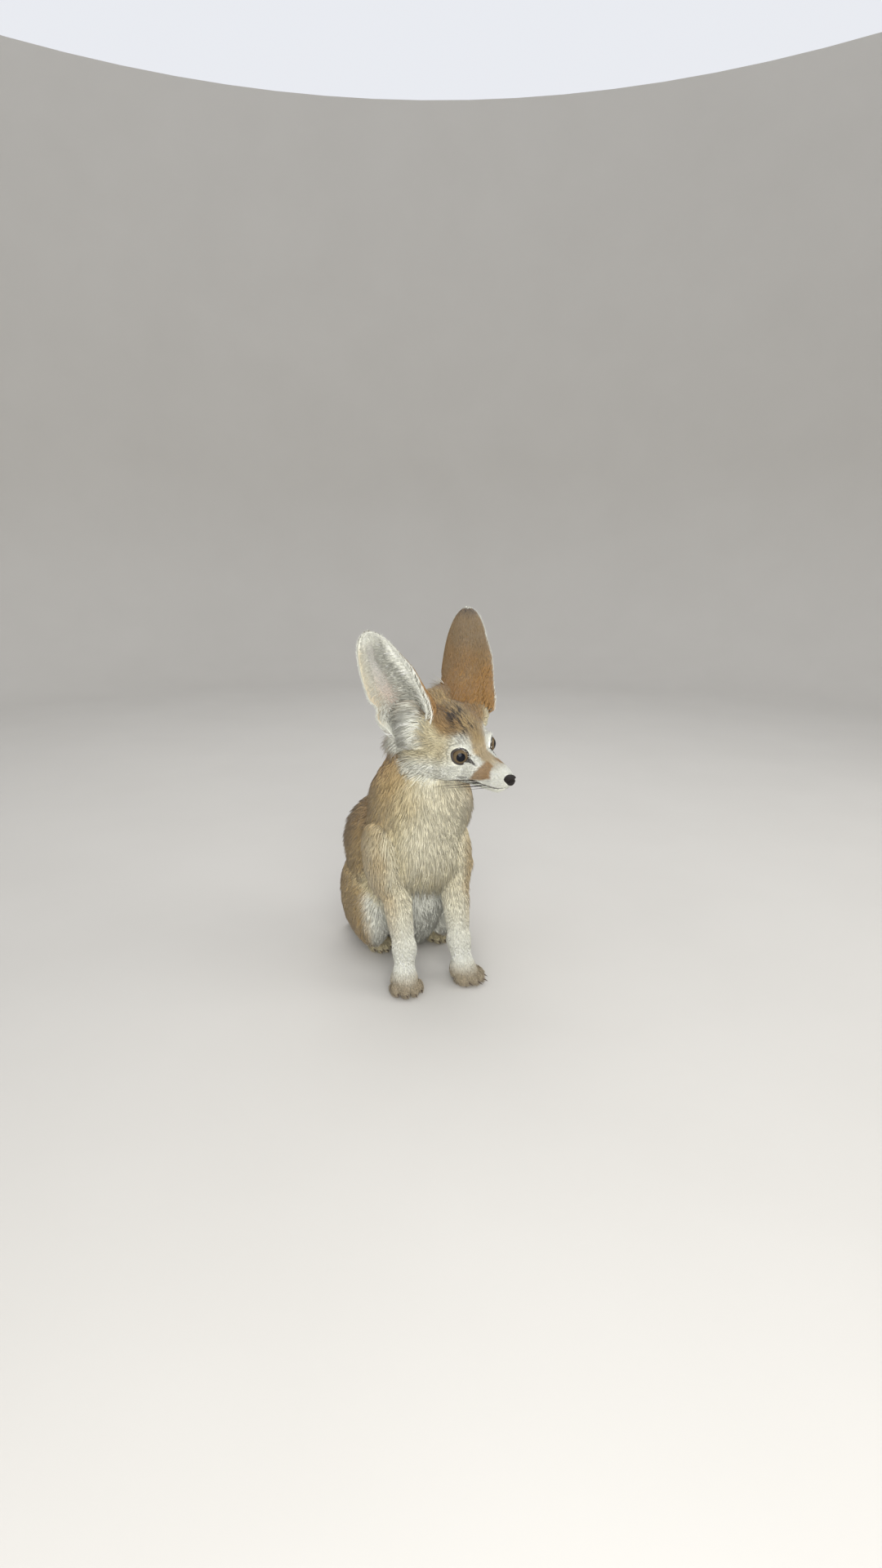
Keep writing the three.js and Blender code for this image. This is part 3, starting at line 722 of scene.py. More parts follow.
def tuft_tree():
    """Geometry nodes that set one bent tuft on every point, turned, sized and coloured by the point."""
    tree = bpy.data.node_groups.new("tufts", "GeometryNodeTree")
    sockets = {}
    for name, kind, value in (
        ("Points", "NodeSocketGeometry", None),
        ("Sides", "NodeSocketInt", 3),
        ("Segments", "NodeSocketInt", 2),
        ("Root width", "NodeSocketFloat", 0.75),
        ("Belly", "NodeSocketFloat", 2.5),
        ("Flatness", "NodeSocketFloat", 0.15),
        ("Arch", "NodeSocketFloat", 1.4),
        ("Patch", "NodeSocketFloat", BAKE_PATCH),
        ("Material", "NodeSocketMaterial", None),
    ):
        made = tree.interface.new_socket(name, in_out="INPUT", socket_type=kind)
        sockets[name] = made.identifier
        if value is not None:
            made.default_value = value
    tree.interface.new_socket("Coat", in_out="OUTPUT", socket_type="NodeSocketGeometry")
    given = tree.nodes.new("NodeGroupInput").outputs

    def node(kind, settings=None, inputs=None):
        made = tree.nodes.new(kind)
        for name, value in (settings or {}).items():
            setattr(made, name, value)
        for key, value in (inputs or {}).items():
            if isinstance(value, bpy.types.NodeSocket):
                tree.links.new(value, made.inputs[key])
            else:
                made.inputs[key].default_value = value
        return made.outputs

    def maths(operation, a, b):
        return node("ShaderNodeMath", {"operation": operation}, {0: a, 1: b})[0]

    cone = node(
        "GeometryNodeMeshCone",
        {"fill_type": "NGON"},
        {
            "Vertices": given["Sides"],
            "Side Segments": given["Segments"],
            "Radius Top": 0.0,
            "Radius Bottom": 1.0,
            "Depth": 1.0,
        },
    )["Mesh"]
    x, y, z = node("ShaderNodeSeparateXYZ", None, {0: node("GeometryNodeInputPosition")[0]})
    broad = maths("ADD", given["Root width"], maths("MULTIPLY", z, given["Belly"]))
    steep = maths("SUBTRACT", maths("ADD", given["Arch"], 1.0), maths("MULTIPLY", z, given["Arch"]))
    climb = maths("MULTIPLY", z, steep)
    height = maths("ADD", maths("MULTIPLY", y, given["Flatness"]), maths("SUBTRACT", climb, 0.12))
    bent = node("ShaderNodeCombineXYZ", None, {0: z, 1: maths("MULTIPLY", x, broad), 2: height})[0]
    around = maths("MULTIPLY", maths("ADD", x, 1.0), 0.5)
    spot = node("ShaderNodeCombineXYZ", None, {0: around, 1: z, 2: 0.0})[0]
    marked = node(
        "GeometryNodeStoreNamedAttribute",
        {"data_type": "FLOAT_VECTOR", "domain": "POINT"},
        {"Geometry": cone, "Name": "strand", "Value": spot},
    )[0]
    tuft = node("GeometryNodeSetPosition", None, {"Geometry": marked, "Position": bent})[0]

    def stored(name):
        return node("GeometryNodeInputNamedAttribute", {"data_type": "FLOAT_VECTOR"}, {"Name": name})[0]

    axes = {"primary_axis": "Z", "secondary_axis": "X"}
    facing = node("FunctionNodeAxesToRotation", axes, {0: stored("up"), 1: stored("lie")})[0]
    placed = {"Points": given["Points"], "Instance": tuft, "Rotation": facing, "Scale": stored("size")}
    sown_tufts = node("GeometryNodeInstanceOnPoints", None, placed)[0]
    real = node("GeometryNodeRealizeInstances", None, {0: sown_tufts})[0]
    small = {0: stored("strand"), "Scale": given["Patch"]}
    patch = node("ShaderNodeVectorMath", {"operation": "SCALE"}, small)[0]
    patch = node("ShaderNodeVectorMath", {"operation": "ADD"}, {0: patch, 1: stored("root_place")})[0]
    mapped = node(
        "GeometryNodeStoreNamedAttribute",
        {"data_type": "FLOAT2", "domain": "CORNER"},
        {"Geometry": real, "Name": "OFBake", "Value": patch},
    )[0]
    finished = node("GeometryNodeSetMaterial", None, {"Geometry": mapped, "Material": given["Material"]})[0]
    out = tree.nodes.new("NodeGroupOutput")
    tree.links.new(finished, out.inputs[0])
    return tree, sockets


TUFTS, TUFT_INPUTS = tuft_tree()


def coat_piece(name, roots, up, lie, size, colours, place, material, slot, **shape):
    """One piece of the coat: a tuft on each root, kept clear of the floor, made real by geometry nodes."""
    heading = unit(lie - up * np.sum(lie * up, -1, keepdims=True))
    fall = -(heading[:, 2] * size[:, 0] + up[:, 2] * size[:, 2])
    room = np.clip((roots[:, 2] - 0.4) / np.maximum(fall, 0.01), 0.2, 1)
    size = size * np.where(fall > 0, room, 1)[:, None]
    mesh = bpy.data.meshes.new(name + "_roots")
    mesh.from_pydata(in_scene(roots).tolist(), [], [])
    root_place = np.c_[place, np.zeros(len(place))]
    stored = {"up": up, "lie": lie, "size": size * 0.001, "root_place": root_place}
    for attribute, values in stored.items():
        made = mesh.attributes.new(attribute, "FLOAT_VECTOR", "POINT")
        made.data.foreach_set("vector", np.asarray(values, np.float32).ravel())
    made = mesh.attributes.new("coat_colour", "FLOAT_COLOR", "POINT")
    made.data.foreach_set("color", np.c_[colours, np.ones(len(colours))].astype(np.float32).ravel())
    holder = bpy.data.objects.new(name + "_roots", mesh)
    bpy.context.scene.collection.objects.link(holder)
    grown = holder.modifiers.new("tufts", "NODES")
    grown.node_group = TUFTS
    grown[TUFT_INPUTS["Material"]] = material
    for socket, value in shape.items():
        grown[TUFT_INPUTS[socket.replace("_", " ")]] = value
    real = bpy.data.meshes.new_from_object(holder.evaluated_get(bpy.context.evaluated_depsgraph_get()))
    holder.modifiers.remove(grown)
    bpy.data.objects.remove(holder)
    real.name = name
    real.shade_smooth()
    for spare in stored:
        if spare in real.attributes:
            real.attributes.remove(real.attributes[spare])
    made = bpy.data.objects.new(name, real)
    bpy.context.scene.collection.objects.link(made)
    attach(made, "root")
    return made


def hair_finish():
    made = Finish("fox_hair", Roughness=0.62, Sheen_Weight=0.15, Sheen_Roughness=0.5)
    along = made.node("ShaderNodeSeparateXYZ", None, {0: made.attribute("strand", 1)}, 1)
    streak = made.noise(made.place(), 420.0, 2.0)
    shade = along * 0.20 + 0.84 + (streak - 0.5) * 0.3
    return made.feed(Base_Color=made.attribute("coat_colour").scaled(shade))


COAT = hair_finish()


def sown(points, quads, density, seed):
    """Roots and their normals, spread evenly over a skin. Density is in tufts per square millimetre."""
    random = np.random.default_rng(seed)
    tris = np.concatenate([quads[:, [0, 1, 2]], quads[:, [0, 2, 3]]], 1).reshape(-1, 3)
    a, b, c = points[tris[:, 0]], points[tris[:, 1]], points[tris[:, 2]]
    area = np.linalg.norm(np.cross(b - a, c - a), axis=1) / 2
    share = np.cumsum(area * density[tris].mean(1))
    count = int(share[-1])
    at = (np.arange(count) + random.random(count)) * share[-1] / count
    face = np.minimum(np.searchsorted(share, at), len(tris) - 1)
    u, v = random.random(count), random.random(count)
    over = u + v > 1
    u, v = np.where(over, 1 - u, u)[:, None], np.where(over, 1 - v, v)[:, None]
    corner = normals(points, quads)[tris[face]]
    roots = a[face] + (b - a)[face] * u + (c - a)[face] * v
    return roots, unit(corner[:, 0] * (1 - u - v) + corner[:, 1] * u + corner[:, 2] * v)


def combed(lie, up, loose, random, waves=0.0):
    """The lie laid flat on the skin, loosened by small random turns and by waves."""
    flat = unit(lie - up * np.sum(lie * up, -1, keepdims=True))
    turn = (random.standard_normal(len(lie)) * loose + waves)[:, None]
    return unit(flat * np.cos(turn) + np.cross(up, flat) * np.sin(turn))


CLUMPING = np.array([0.30, 0.45, 0.4, 0.35, 0.15, 0.15])
CLUMP_REACH = np.array([0.5, 1.0, 0.9, 0.6, 0.4, 0.4])


def clumped(roots, lie, length, amount, reach, random):
    """Hair drawn together in locks: each tuft's tip leans to the tip of a leader close by."""
    leaders = np.flatnonzero(random.random(len(roots)) < 0.045)
    tree = KDTree(len(leaders))
    for i, leader in enumerate(leaders):
        tree.insert(roots[leader], i)
    tree.balance()
    nearest = leaders[[tree.find(root)[1] for root in roots]]
    own = roots + lie * length[:, None]
    shared = roots[nearest] + lie[nearest] * length[nearest, None] + (roots - roots[nearest]) * 0.25
    far = rise(7.0, 3.0, np.linalg.norm(roots - roots[nearest], axis=1) / np.maximum(reach, 0.1))
    return unit(blended(own, shared, (amount * far)[:, None]) - roots)


def ear_seat(h):
    """1 round each ear's seat, where the head's hair runs up on to the ear."""
    x = np.abs(h[..., 0])
    return rise(24, 13, np.sqrt((x - 27) ** 2 + (h[..., 1] - 17) ** 2 + (h[..., 2] - 10) ** 2))


def head_lie(p):
    h = to_head(p)
    x, y, z = np.moveaxis(h, -1, 0)
    side = np.sign(x) * rise(0, 6, np.abs(x))
    down = rise(-2, -16, z) * rise(-40, 0, y)
    lie = np.stack([side * (0.25 + 0.25 * down), np.ones_like(x), 0.15 - 0.75 * down], -1)
    lean = np.stack([0.33 * np.sign(x), 0.29 + 0 * x, 1 + 0 * x], -1)
    lie = blended(lie, lean * 1.4, ear_seat(h)[..., None])
    for side in (-1, 1):
        seat, lean, facing, outward = ear_axes(side)
        lie = blended(lie, outward * 1.5 + facing * 0.3, in_cup(h, side)[..., None])
    return lie @ HEAD_AXES.T


def body_lie(p):
    x, y, z = np.moveaxis(p, -1, 0)
    back = rise(-10, 50, y)
    return np.stack([0.004 * x, 0.1 + 0.55 * back, -np.ones_like(x)], -1)


def thigh_lie(p):
    low = rise(60, 20, p[..., 2])
    return np.stack([np.zeros(len(p)), 0.45 - 0.9 * low, -np.ones(len(p))], -1)


def leg_lie(p):
    low = rise(20, 8, p[..., 2])
    return np.stack([np.zeros(len(p)), -0.15 - 1.4 * low, -np.ones(len(p))], -1)


def foot_lie(p):
    return np.broadcast_to(np.array([0.0, -1.0, -0.25]), p.shape)


def hair_size(p, weights):
    """Length, half width and height above the skin of the tufts at each root, in millimetres."""
    h = to_head(p)
    y, z = h[..., 1], h[..., 2]
    face = rise(-50, 6, y)
    cheek = np.maximum(rise(-8, 14, y) * rise(2, -14, z), 0.7 * ear_seat(h))
    cup = in_cups(h)
    width = blended(0.17 + 0.09 * face + 0.06 * cheek, 0.2, cup)
    cheek = np.maximum(cheek, 1.5 * cup)
    head = np.stack([2.3 + 3.9 * face + 9.5 * cheek, width, 0.7 + 1.5 * face + 2.3 * cheek], -1)
    x, y, z = np.moveaxis(p, -1, 0)
    ruff = rise(120, 180, z)
    hem = rise(128, 112, z) * rise(88, 98, z) * rise(20, 0, y)
    trunk_hair = np.stack([16 + 3 * ruff + 12 * hem, 0.30 + 0.03 * ruff, 4.5 + 0.6 * ruff], -1)
    thigh_hair = np.broadcast_to(np.array([11.5, 0.32, 4.0]), p.shape)
    high = rise(30, 105, z)
    leg_hair = np.stack([4.6 + 8 * high, 0.24 + 0.12 * high, 1.2 + 2.7 * high], -1)
    foot_hair = np.broadcast_to(np.array([3.5, 0.22, 0.9]), p.shape)
    sizes = (head, trunk_hair, thigh_hair, leg_hair, foot_hair, foot_hair)
    return sum(weights[:, i : i + 1] * size for i, size in enumerate(sizes))


def bare(p):
    """1 on the skin that grows no hair: the eyes and their rims, the nose and the soles."""
    h = to_head(p)
    naked = rise(2.0, 0.3, p[..., 2])
    for side in (-1, 1):
        offset = h - eye_centre(side)
        distance = np.linalg.norm(offset, axis=-1)
        near = np.flatnonzero(distance < 15)
        height, past = lid_height(side, unit(offset[near]))
        naked[near] = np.maximum(naked[near], rise(RIM_WIDTH + 0.7, RIM_WIDTH, past))
        naked = np.maximum(naked, rise(0.3, 0.7, streak(h, side)))
    naked = np.maximum(naked, rise(0.4, 0.8, lip(h)))
    return np.maximum(naked, rise(5.0, 3.5, np.linalg.norm(h - np.array([0, -60, -15]), axis=-1)))


LAYERS = np.array([2.3, 4.8, 3.8, 2.6, 1.6, 1.5]) * 1.0
corner_weights = part_weights(skin_points)
corner_size = hair_size(skin_points, corner_weights)
density = corner_weights @ LAYERS / (corner_size[:, 0] * corner_size[:, 1]) * (1 - bare(skin_points))
density = density * blended(0.35, 1, rise(-0.9, -0.3, skin_normals[:, 2]))
density = density * (1 + 2.5 * in_cups(to_head(skin_points)))
roots, up = sown(skin_points, skin_quads, density, 5)
random = np.random.default_rng(17)
weights = part_weights(roots)
lies = (head_lie, body_lie, thigh_lie, leg_lie, foot_lie, foot_lie)
lie = sum(weights[:, i : i + 1] * unit(rule(roots)) for i, rule in enumerate(lies))
crown = to_head(roots)
even = 1 - in_cups(crown)
waves = (0.22 * ripple(roots, 7.0, 11.0) + 0.17 * ripple(roots, 2.6, 12.0)) * even
lie = combed(lie, up, 0.13, random, waves)
size = hair_size(roots, weights)
lie = clumped(roots, lie, size[:, 0], weights @ CLUMPING * even, weights @ CLUMP_REACH, random)
size = size * blended(0.72, 1.28, random.random((len(roots), 3)))
colours = markings(roots, up)
combed_out = crown * np.array([1.0, 0.12, 0.12])
streaks = ripple(combed_out, 0.75, 5.0) + 0.25 * ripple(crown, 3.0, 13.0)
streaks = streaks + 0.2 * random.standard_normal(len(roots))
above = rise(2, 7, crown[:, 2]) * rise(21, 14, np.abs(crown[:, 0])) * rise(-30, -22, crown[:, 1])
there = above * rise(11, 5, np.abs(crown[:, 0] + 5))
there = there * rise(6, -4, crown[:, 1]) * rise(-25, -19, crown[:, 1])
colours = paint(colours, SAND * 0.6, above * rise(0.0, 0.4, ripple(combed_out, 0.6, 8.0)) * 0.4)
colours = paint(colours, BLACK, there * rise(-0.12, 0.1, streaks) * 0.9)
hair = ripple(roots, 3.0, 7.0) * 0.06 + random.standard_normal(len(roots)) * 0.08
colours = np.clip(colours * (1 + hair)[:, None], 0.01, 0.92)


def inset(across, along):
    """A place on the unit square, with room at its edges for the patch of a tuft."""
    return np.c_[across, along] * 0.98 + 0.008


def around(p, axis_y, low, high):
    """A cylinder's unwrap of the body about an upright line: the turn, and the height."""
    turn = np.arctan2(p[:, 0], axis_y - p[:, 1]) / (2 * np.pi) + 0.5
    return inset(turn, (p[:, 2] - low) / (high - low))


def head_unwrap(p):
    h = to_head(p) - np.array([0, -5, -6])
    polar = np.arccos(np.clip(unit(h)[:, 1], -1, 1)) / np.pi
    return inset(np.arctan2(h[:, 0], h[:, 2]) / (2 * np.pi) + 0.5, polar)


def sided(p, y, high):
    """Two limbs side by side: each one's unwrap takes half the square."""
    half = (p[:, 0] > 0) * 0.5
    turn = np.arctan2(np.abs(p[:, 0]) - 26, y - p[:, 1]) / (2 * np.pi) + 0.5
    return np.c_[half + turn * 0.49, p[:, 2] / high * 0.98 + 0.008]


main = weights.argmax(1)
muzzle = crown[:, 1] < -14
upper = crown[:, 2] > -6
high = roots[:, 2]
front = roots[:, 1] < np.interp(high, [0, 78, 118, 155, 200], [60, 42, 6, -2, -10])
paws = ((main == 3) & (high <= 22)) | ((main >= 4) & (roots[:, 1] < -20))
COAT_PIECES = {
    "coat_muzzle": ((main == 0) & muzzle, head_unwrap),
    "coat_crown": ((main == 0) & ~muzzle & upper, head_unwrap),
    "coat_cheeks": ((main == 0) & ~muzzle & ~upper, head_unwrap),
    "coat_neck": ((main == 1) & (high > 148), lambda p: around(p, -4, 140, 240)),
    "coat_chest": ((main == 1) & (high <= 148) & front, lambda p: around(p, 20, 0, 150)),
    "coat_back": ((main == 1) & (high <= 148) & ~front, lambda p: around(p, 20, 0, 150)),
    "coat_haunches": (main == 2, lambda p: sided(p, 44, 100)),
    "coat_forelegs": ((main == 3) & (high > 22), lambda p: sided(p, -34, 150)),
    "coat_paws": (paws, lambda p: sided(p, -50, 24)),
    "coat_hind_feet": ((main >= 4) & (roots[:, 1] >= -20), lambda p: sided(p, 34, 30)),
}
for name, (chosen, unwrap) in COAT_PIECES.items():
    picked = [values[chosen] for values in (roots, up, lie, size, colours)]
    coat_piece(name, *picked, unwrap(picked[0]), COAT, "coat_sand")


# Eyes. Two dark wet balls that bulge a little in front. Each has a brown iris with fine fibres round a
# blue-black pupil, and a black edge.


def eye_finish(side):
    name = "eye_right" if side < 0 else "eye_left"
    wet = {"Coat_Weight": 0.6, "Coat_Roughness": 0.03, "Coat_IOR": 1.38}
    made = Finish(name, Roughness=0.3, Specular_IOR_Level=0.0, **wet)
    centre = in_scene(to_body(eye_centre(side)))
    gaze = HEAD_AXES @ eye_frame(side)[0]
    turn = Vector(gaze).to_track_quat("Z", "Y").to_euler()
    shifted = made.node("ShaderNodeVectorMath", {"operation": "SUBTRACT"}, {0: made.place(), 1: centre})
    local = made.node("ShaderNodeMapping", {"vector_type": "TEXTURE"}, {"Vector": shifted, "Rotation": turn})
    x = made.node("ShaderNodeSeparateXYZ", None, {0: local})
    y = Value(made, x.socket.node.outputs[1])
    radius = (x * x + y * y).maths("SQRT") * 1000
    turn_round = x.maths("ARCTAN2", y)
    spokes = made.node("ShaderNodeCombineXYZ", None, {0: turn_round * 9, 1: radius * 0.35, 2: 0.0})
    fibres = made.noise(spokes, 1.6, 4.0)
    iris = made.node("ShaderNodeRGB")
    iris.socket.default_value = (0.11, 0.078, 0.042, 1)
    colour = iris.tinted((0.18, 0.13, 0.072), fibres.step(0.4, 0.85))
    colour = colour.tinted((0.04, 0.024, 0.012), radius.step(5.0, 6.2))
    colour = colour.tinted((0.010, 0.008, 0.007), radius.step(6.1, 6.7))
    colour = colour.tinted((0.004, 0.005, 0.009), radius.step(3.75, 3.35))
    return made.feed(Base_Color=colour)


def ring_faces(rows, turns, loop=False):
    """The faces of a row of rings: as a closed loop, or with the two points after them as its ends."""
    at = np.arange(rows * turns).reshape(rows, turns)
    if loop:
        at = np.concatenate([at, at[:1]])
    nxt = np.roll(at, -1, 1)
    quads = np.stack([at[:-1], at[1:], nxt[1:], nxt[:-1]], -1).reshape(-1, 4)
    if loop:
        return quads
    start = [[rows * turns, at[0, i], nxt[0, i]] for i in range(turns)]
    end = [[rows * turns + 1, nxt[-1, i], at[-1, i]] for i in range(turns)]
    return quads.tolist() + start + end


def eyeball(side, rows=40, turns=56):
    gaze, corner, across = eye_frame(side)
    polar = np.linspace(0, np.pi, rows + 1)[1:-1]
    turn = np.linspace(0, 2 * np.pi, turns, endpoint=False)
    bulge = EYE_RADIUS + 0.35 * np.exp(-((polar / 0.62) ** 2))
    ring = np.cos(turn)[:, None] * corner + np.sin(turn)[:, None] * across
    body = (np.cos(polar) * bulge)[:, None, None] * gaze + (np.sin(polar) * bulge)[:, None, None] * ring
    points = np.concatenate([body.reshape(-1, 3), [gaze * (EYE_RADIUS + 0.35)], [-gaze * EYE_RADIUS]])
    return to_body(points + eye_centre(side)), ring_faces(rows - 1, turns)


def lids(side, turns=72):
    """The lids as rings: from under the edge, over the wet rim and out under the face's coat."""
    gaze, corner, across = eye_frame(side)
    turn = np.linspace(0, 2 * np.pi, turns, endpoint=False)
    ring = np.cos(turn)[:, None] * corner + np.sin(turn)[:, None] * across
    edge = opening_edge(turn)
    rows = []
    for past in (-0.25, 0.0, 0.25, 0.55, 0.9, 1.4, 2.0, 2.8, 3.8, 5.0, 6.2):
        away = (edge + past) / EYE_RADIUS
        direction = np.cos(away)[:, None] * gaze + np.sin(away)[:, None] * ring
        height = lid_height(side, direction)[0]
        rows.append(direction * height[:, None])
    rows.append(rows[-1] * 0.8)
    rows.append(rows[0] * 0.93)
    points = np.concatenate(rows)
    return to_body(points + eye_centre(side)), ring_faces(len(rows), turns, loop=True)


def lid_finish():
    made = Finish("eyelids", Roughness=0.45)
    place = made.place()
    colour = made.attribute("coat_colour").scaled(made.noise(place, 800.0) * 0.5 + 0.75)
    return made.feed(Base_Color=colour, Normal=made.bump(made.noise(place, 1500.0), 0.4, 0.0003))


LIDS = lid_finish()
for side in (-1, 1):
    name = "right" if side < 0 else "left"
    points, faces = eyeball(side)
    ball_made = piece("eye_" + name + "_ball", points, faces, eye_finish(side))
    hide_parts("eye_" + name)
    points, faces = lids(side)
    h = to_head(points) - eye_centre(side)
    past = lid_height(side, unit(h))[1]
    around_eye = markings(points, normals(points, faces))
    colour = paint(around_eye, BLACK, rise(RIM_WIDTH + 0.5, RIM_WIDTH - 0.2, past))
    piece("eyelids_" + name, points, faces, LIDS, colour)


# Nose. A pad of bare black leather at the tip of the muzzle, wide above and drawn in to the lip,
# with a comma-shaped nostril on each side and a fine pebbled grain.

nose_pad = join(2, ball([0, -60, -14.4], [5.2, 4.5, 3.1]), ball([0, -60.5, -17], [2.6, 3.2, 2.6]))


def nose_field(h):
    holes = []
    for s in (-1, 1):
        pit = ball([s * 2.6, -63.6, -14.2], [1.35, 2.2, 1.15], [0, 0, s * -25])
        slit = ball([s * 4.3, -62.0, -15.3], [1.7, 1.5, 0.55], [0, s * 25, s * -35])
        holes.append(join(0.8, pit, slit))
    groove = limb([0, -65.2, -15], [0, -63.8, -21], 0.45, 0.45)
    cut = soft_least(0.3, [holes[0](h), holes[1](h), groove(h)])
    return -soft_least(0.7, [-nose_pad(h), cut])


nose_points, nose_quads = net(
    nose_field, planes((-7, 7, 0.28)), planes((-67, -54, 0.28)), planes((-22, -9, 0.28))
)


def nose_finish():
    made = Finish("nose_leather", Roughness=0.5, Specular_IOR_Level=0.15, Coat_Weight=0.1, Coat_Roughness=0.3)
    place = made.place()
    pebbles = {"Vector": place, "Scale": 1300.0}
    grain = made.node("ShaderNodeTexVoronoi", {"feature": "DISTANCE_TO_EDGE"}, pebbles)
    tone = made.node("ShaderNodeRGB")
    tone.socket.default_value = (0.010, 0.008, 0.007, 1)
    colour = tone.tinted((0.030, 0.022, 0.018), grain.step(0.0, 0.25) * 0.7)
    return made.feed(Base_Color=colour, Normal=made.bump(grain.step(0.0, 0.3), 0.7, 0.00025))


nose = piece("nose_pad", to_body(nose_points), nose_quads, nose_finish())
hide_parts("nose")


# Ears. Each is a thin leaf of skin rolled into a cup, nearly a tube at its seat and open towards its tip.
# The back is rufous and turns grey at the tip, the rim is white, and the inside is pale.


def ear_surface(side, u, v, offset):
    """A point of the ear: u runs from the inner edge, -1, to the outer edge, 1, and v from seat to tip."""
    seat, lean, facing, outward = ear_axes(side)
    front = 0.62 if side < 0 else 0.9
    flare = blended(np.where(u < 0, front, 0.62), 1, rise(0, 0.22, v))
    pocket = np.where(u < 0, 0, 3.6 * np.exp(-(((v - 0.33) / 0.055) ** 2)) * u)
    width = EAR_HALF_WIDTH * (1 - np.minimum(v, 0.998) ** 3.1) ** 0.5 * flare - pocket
    bulge = 10 * rise(0.5, 0.05, v)
    depth = blended(17, 7, v**0.8) * (1 - np.minimum(v, 0.99) ** 4) ** 0.5 + bulge
    reach = np.where(u < 0, blended(118, 74, v**0.7), blended(104, 72, v**0.6))
    turn = u * np.radians(reach)
    wall = offset * (1 - 0.5 * u**4)
    point = seat + lean * (v * EAR_LENGTH)[..., None]
    point = point + facing * (-(depth + wall) * np.cos(turn) + (depth - 2 * bulge) * 0.3)[..., None]
    return point + outward * ((width + wall) * np.sin(turn))[..., None]


def ear_cup(side, across=44, along=64):
    """A closed leaf: its back, then its inside, with both edges, the tip and the seat rounded off."""
    v = np.linspace(0, 1, along + 1) ** 0.85
    u = np.linspace(-1, 1, across + 1)
    back = ear_surface(side, u[None, :] + 0 * v[:, None], v[:, None] + 0 * u[None, :], EAR_WALL / 2)
    inside = ear_surface(side, u[None, ::-1] + 0 * v[:, None], v[:, None] + 0 * u[None, :], -EAR_WALL / 2)
    rows = np.concatenate([back, inside], 1)
    count = rows.shape[1]
    at = np.arange(rows.shape[0] * count).reshape(rows.shape[0], count)
    nxt = np.roll(at, -1, 1)
    quads = np.stack([at[:-1], nxt[:-1], nxt[1:], at[1:]], -1).reshape(-1, 4)
    i = np.arange(across)
    seat = np.stack([at[0][i + 1], at[0][i], at[0][count - 1 - i], at[0][count - 2 - i]], -1)
    tip = np.stack([at[-1][i], at[-1][i + 1], at[-1][count - 2 - i], at[-1][count - 1 - i]], -1)
    quads = np.concatenate([quads, seat, tip])
    if side > 0:
        quads = quads[:, ::-1]
    inner = np.zeros((rows.shape[0], count))
    inner[:, across + 1 :] = 1
    us = np.broadcast_to(np.r_[u, u[::-1]], (rows.shape[0], count))
    vs = np.broadcast_to(v[:, None], (rows.shape[0], count))
    return rows.reshape(-1, 3), quads, us.ravel(), vs.ravel(), inner.ravel()


PINK = np.array([0.56, 0.46, 0.39])
# The grey lilac inside the ears is partly the bare skin's own tone and partly painted shade in the middle of
# the cup.
LILAC_AND_SHADE = np.array([0.47, 0.45, 0.41])


def ear_back_colour(h, u, v):
    wave = ripple(h, 7, 4.0)
    colour = paint(np.broadcast_to(SAND * 0.95, h.shape), RUFOUS, rise(0.70, 0.25, v + 0.15 * wave))
    colour = paint(colour, BLACK, 0.30 * rise(0.84, 0.97, v + 0.04 * wave))
    return paint(colour, WHITE, rise(0.88, 0.97, np.abs(u) + 0.03 * wave))


def ear_inside_colour(h, u, v):
    wave = ripple(h, 5, 6.0)
    # Partly painted shade: the middle of the ear's inside turns grey lilac from about a third of the way up.
    colour = paint(np.broadcast_to(PINK, h.shape), LILAC_AND_SHADE, rise(0.3, 0.7, v))
    colour = paint(colour, CREAM, 0.5 * rise(0.35, 0.8, u + 0.1 * wave))
    colour = paint(colour, WHITE, rise(0.1, -0.5, u + 0.1 * wave))
    return paint(colour, WHITE, rise(0.82, 0.95, v) + rise(0.25, 0.1, v))


def ear_hair(side, name, u, v, offset, over, ahead, breadth, tone, random):
    """Hair on an ear. Each tuft lies along a chord of the leaf, so that none goes through it."""
    start = ear_surface(side, u, v, offset)
    over_rate = np.linalg.norm(ear_surface(side, u + 0.01, v, offset) - start, axis=-1) / 0.01
    ahead_rate = np.linalg.norm(ear_surface(side, u, v - 0.01, offset) - start, axis=-1) / 0.01
    loose = random.standard_normal((2, len(u))) * 0.25
    reach = np.hypot(over, ahead) * blended(0.75, 1.2, random.random(len(u)))
    over, ahead = over + loose[0] * reach, ahead + loose[1] * reach
    end_u = np.clip(u + over / over_rate, -1, 1)
    end_v = np.clip(v + ahead / ahead_rate, 0, 0.995)
    chord = ear_surface(side, end_u, end_v, offset) - start
    out = unit(ear_surface(side, u, v, offset + np.sign(offset)) - start)
    out = unit(out - unit(chord) * np.sum(out * unit(chord), -1, keepdims=True))
    length = np.maximum(np.linalg.norm(chord, axis=-1), 0.6 * reach)
    half, lift = breadth
    size = np.stack([length, np.full(len(u), half), lift * np.ones(len(u))], -1)
    tone = np.clip(tone * (1 + 0.08 * random.standard_normal((len(u), 1))), 0.01, 0.92)
    hair = (to_body(start), out @ HEAD_AXES.T, unit(chord) @ HEAD_AXES.T, size, tone, inset((u + 1) / 2, v))
    coat_piece("coat_ear_" + name, *hair, COAT, "coat_cream")


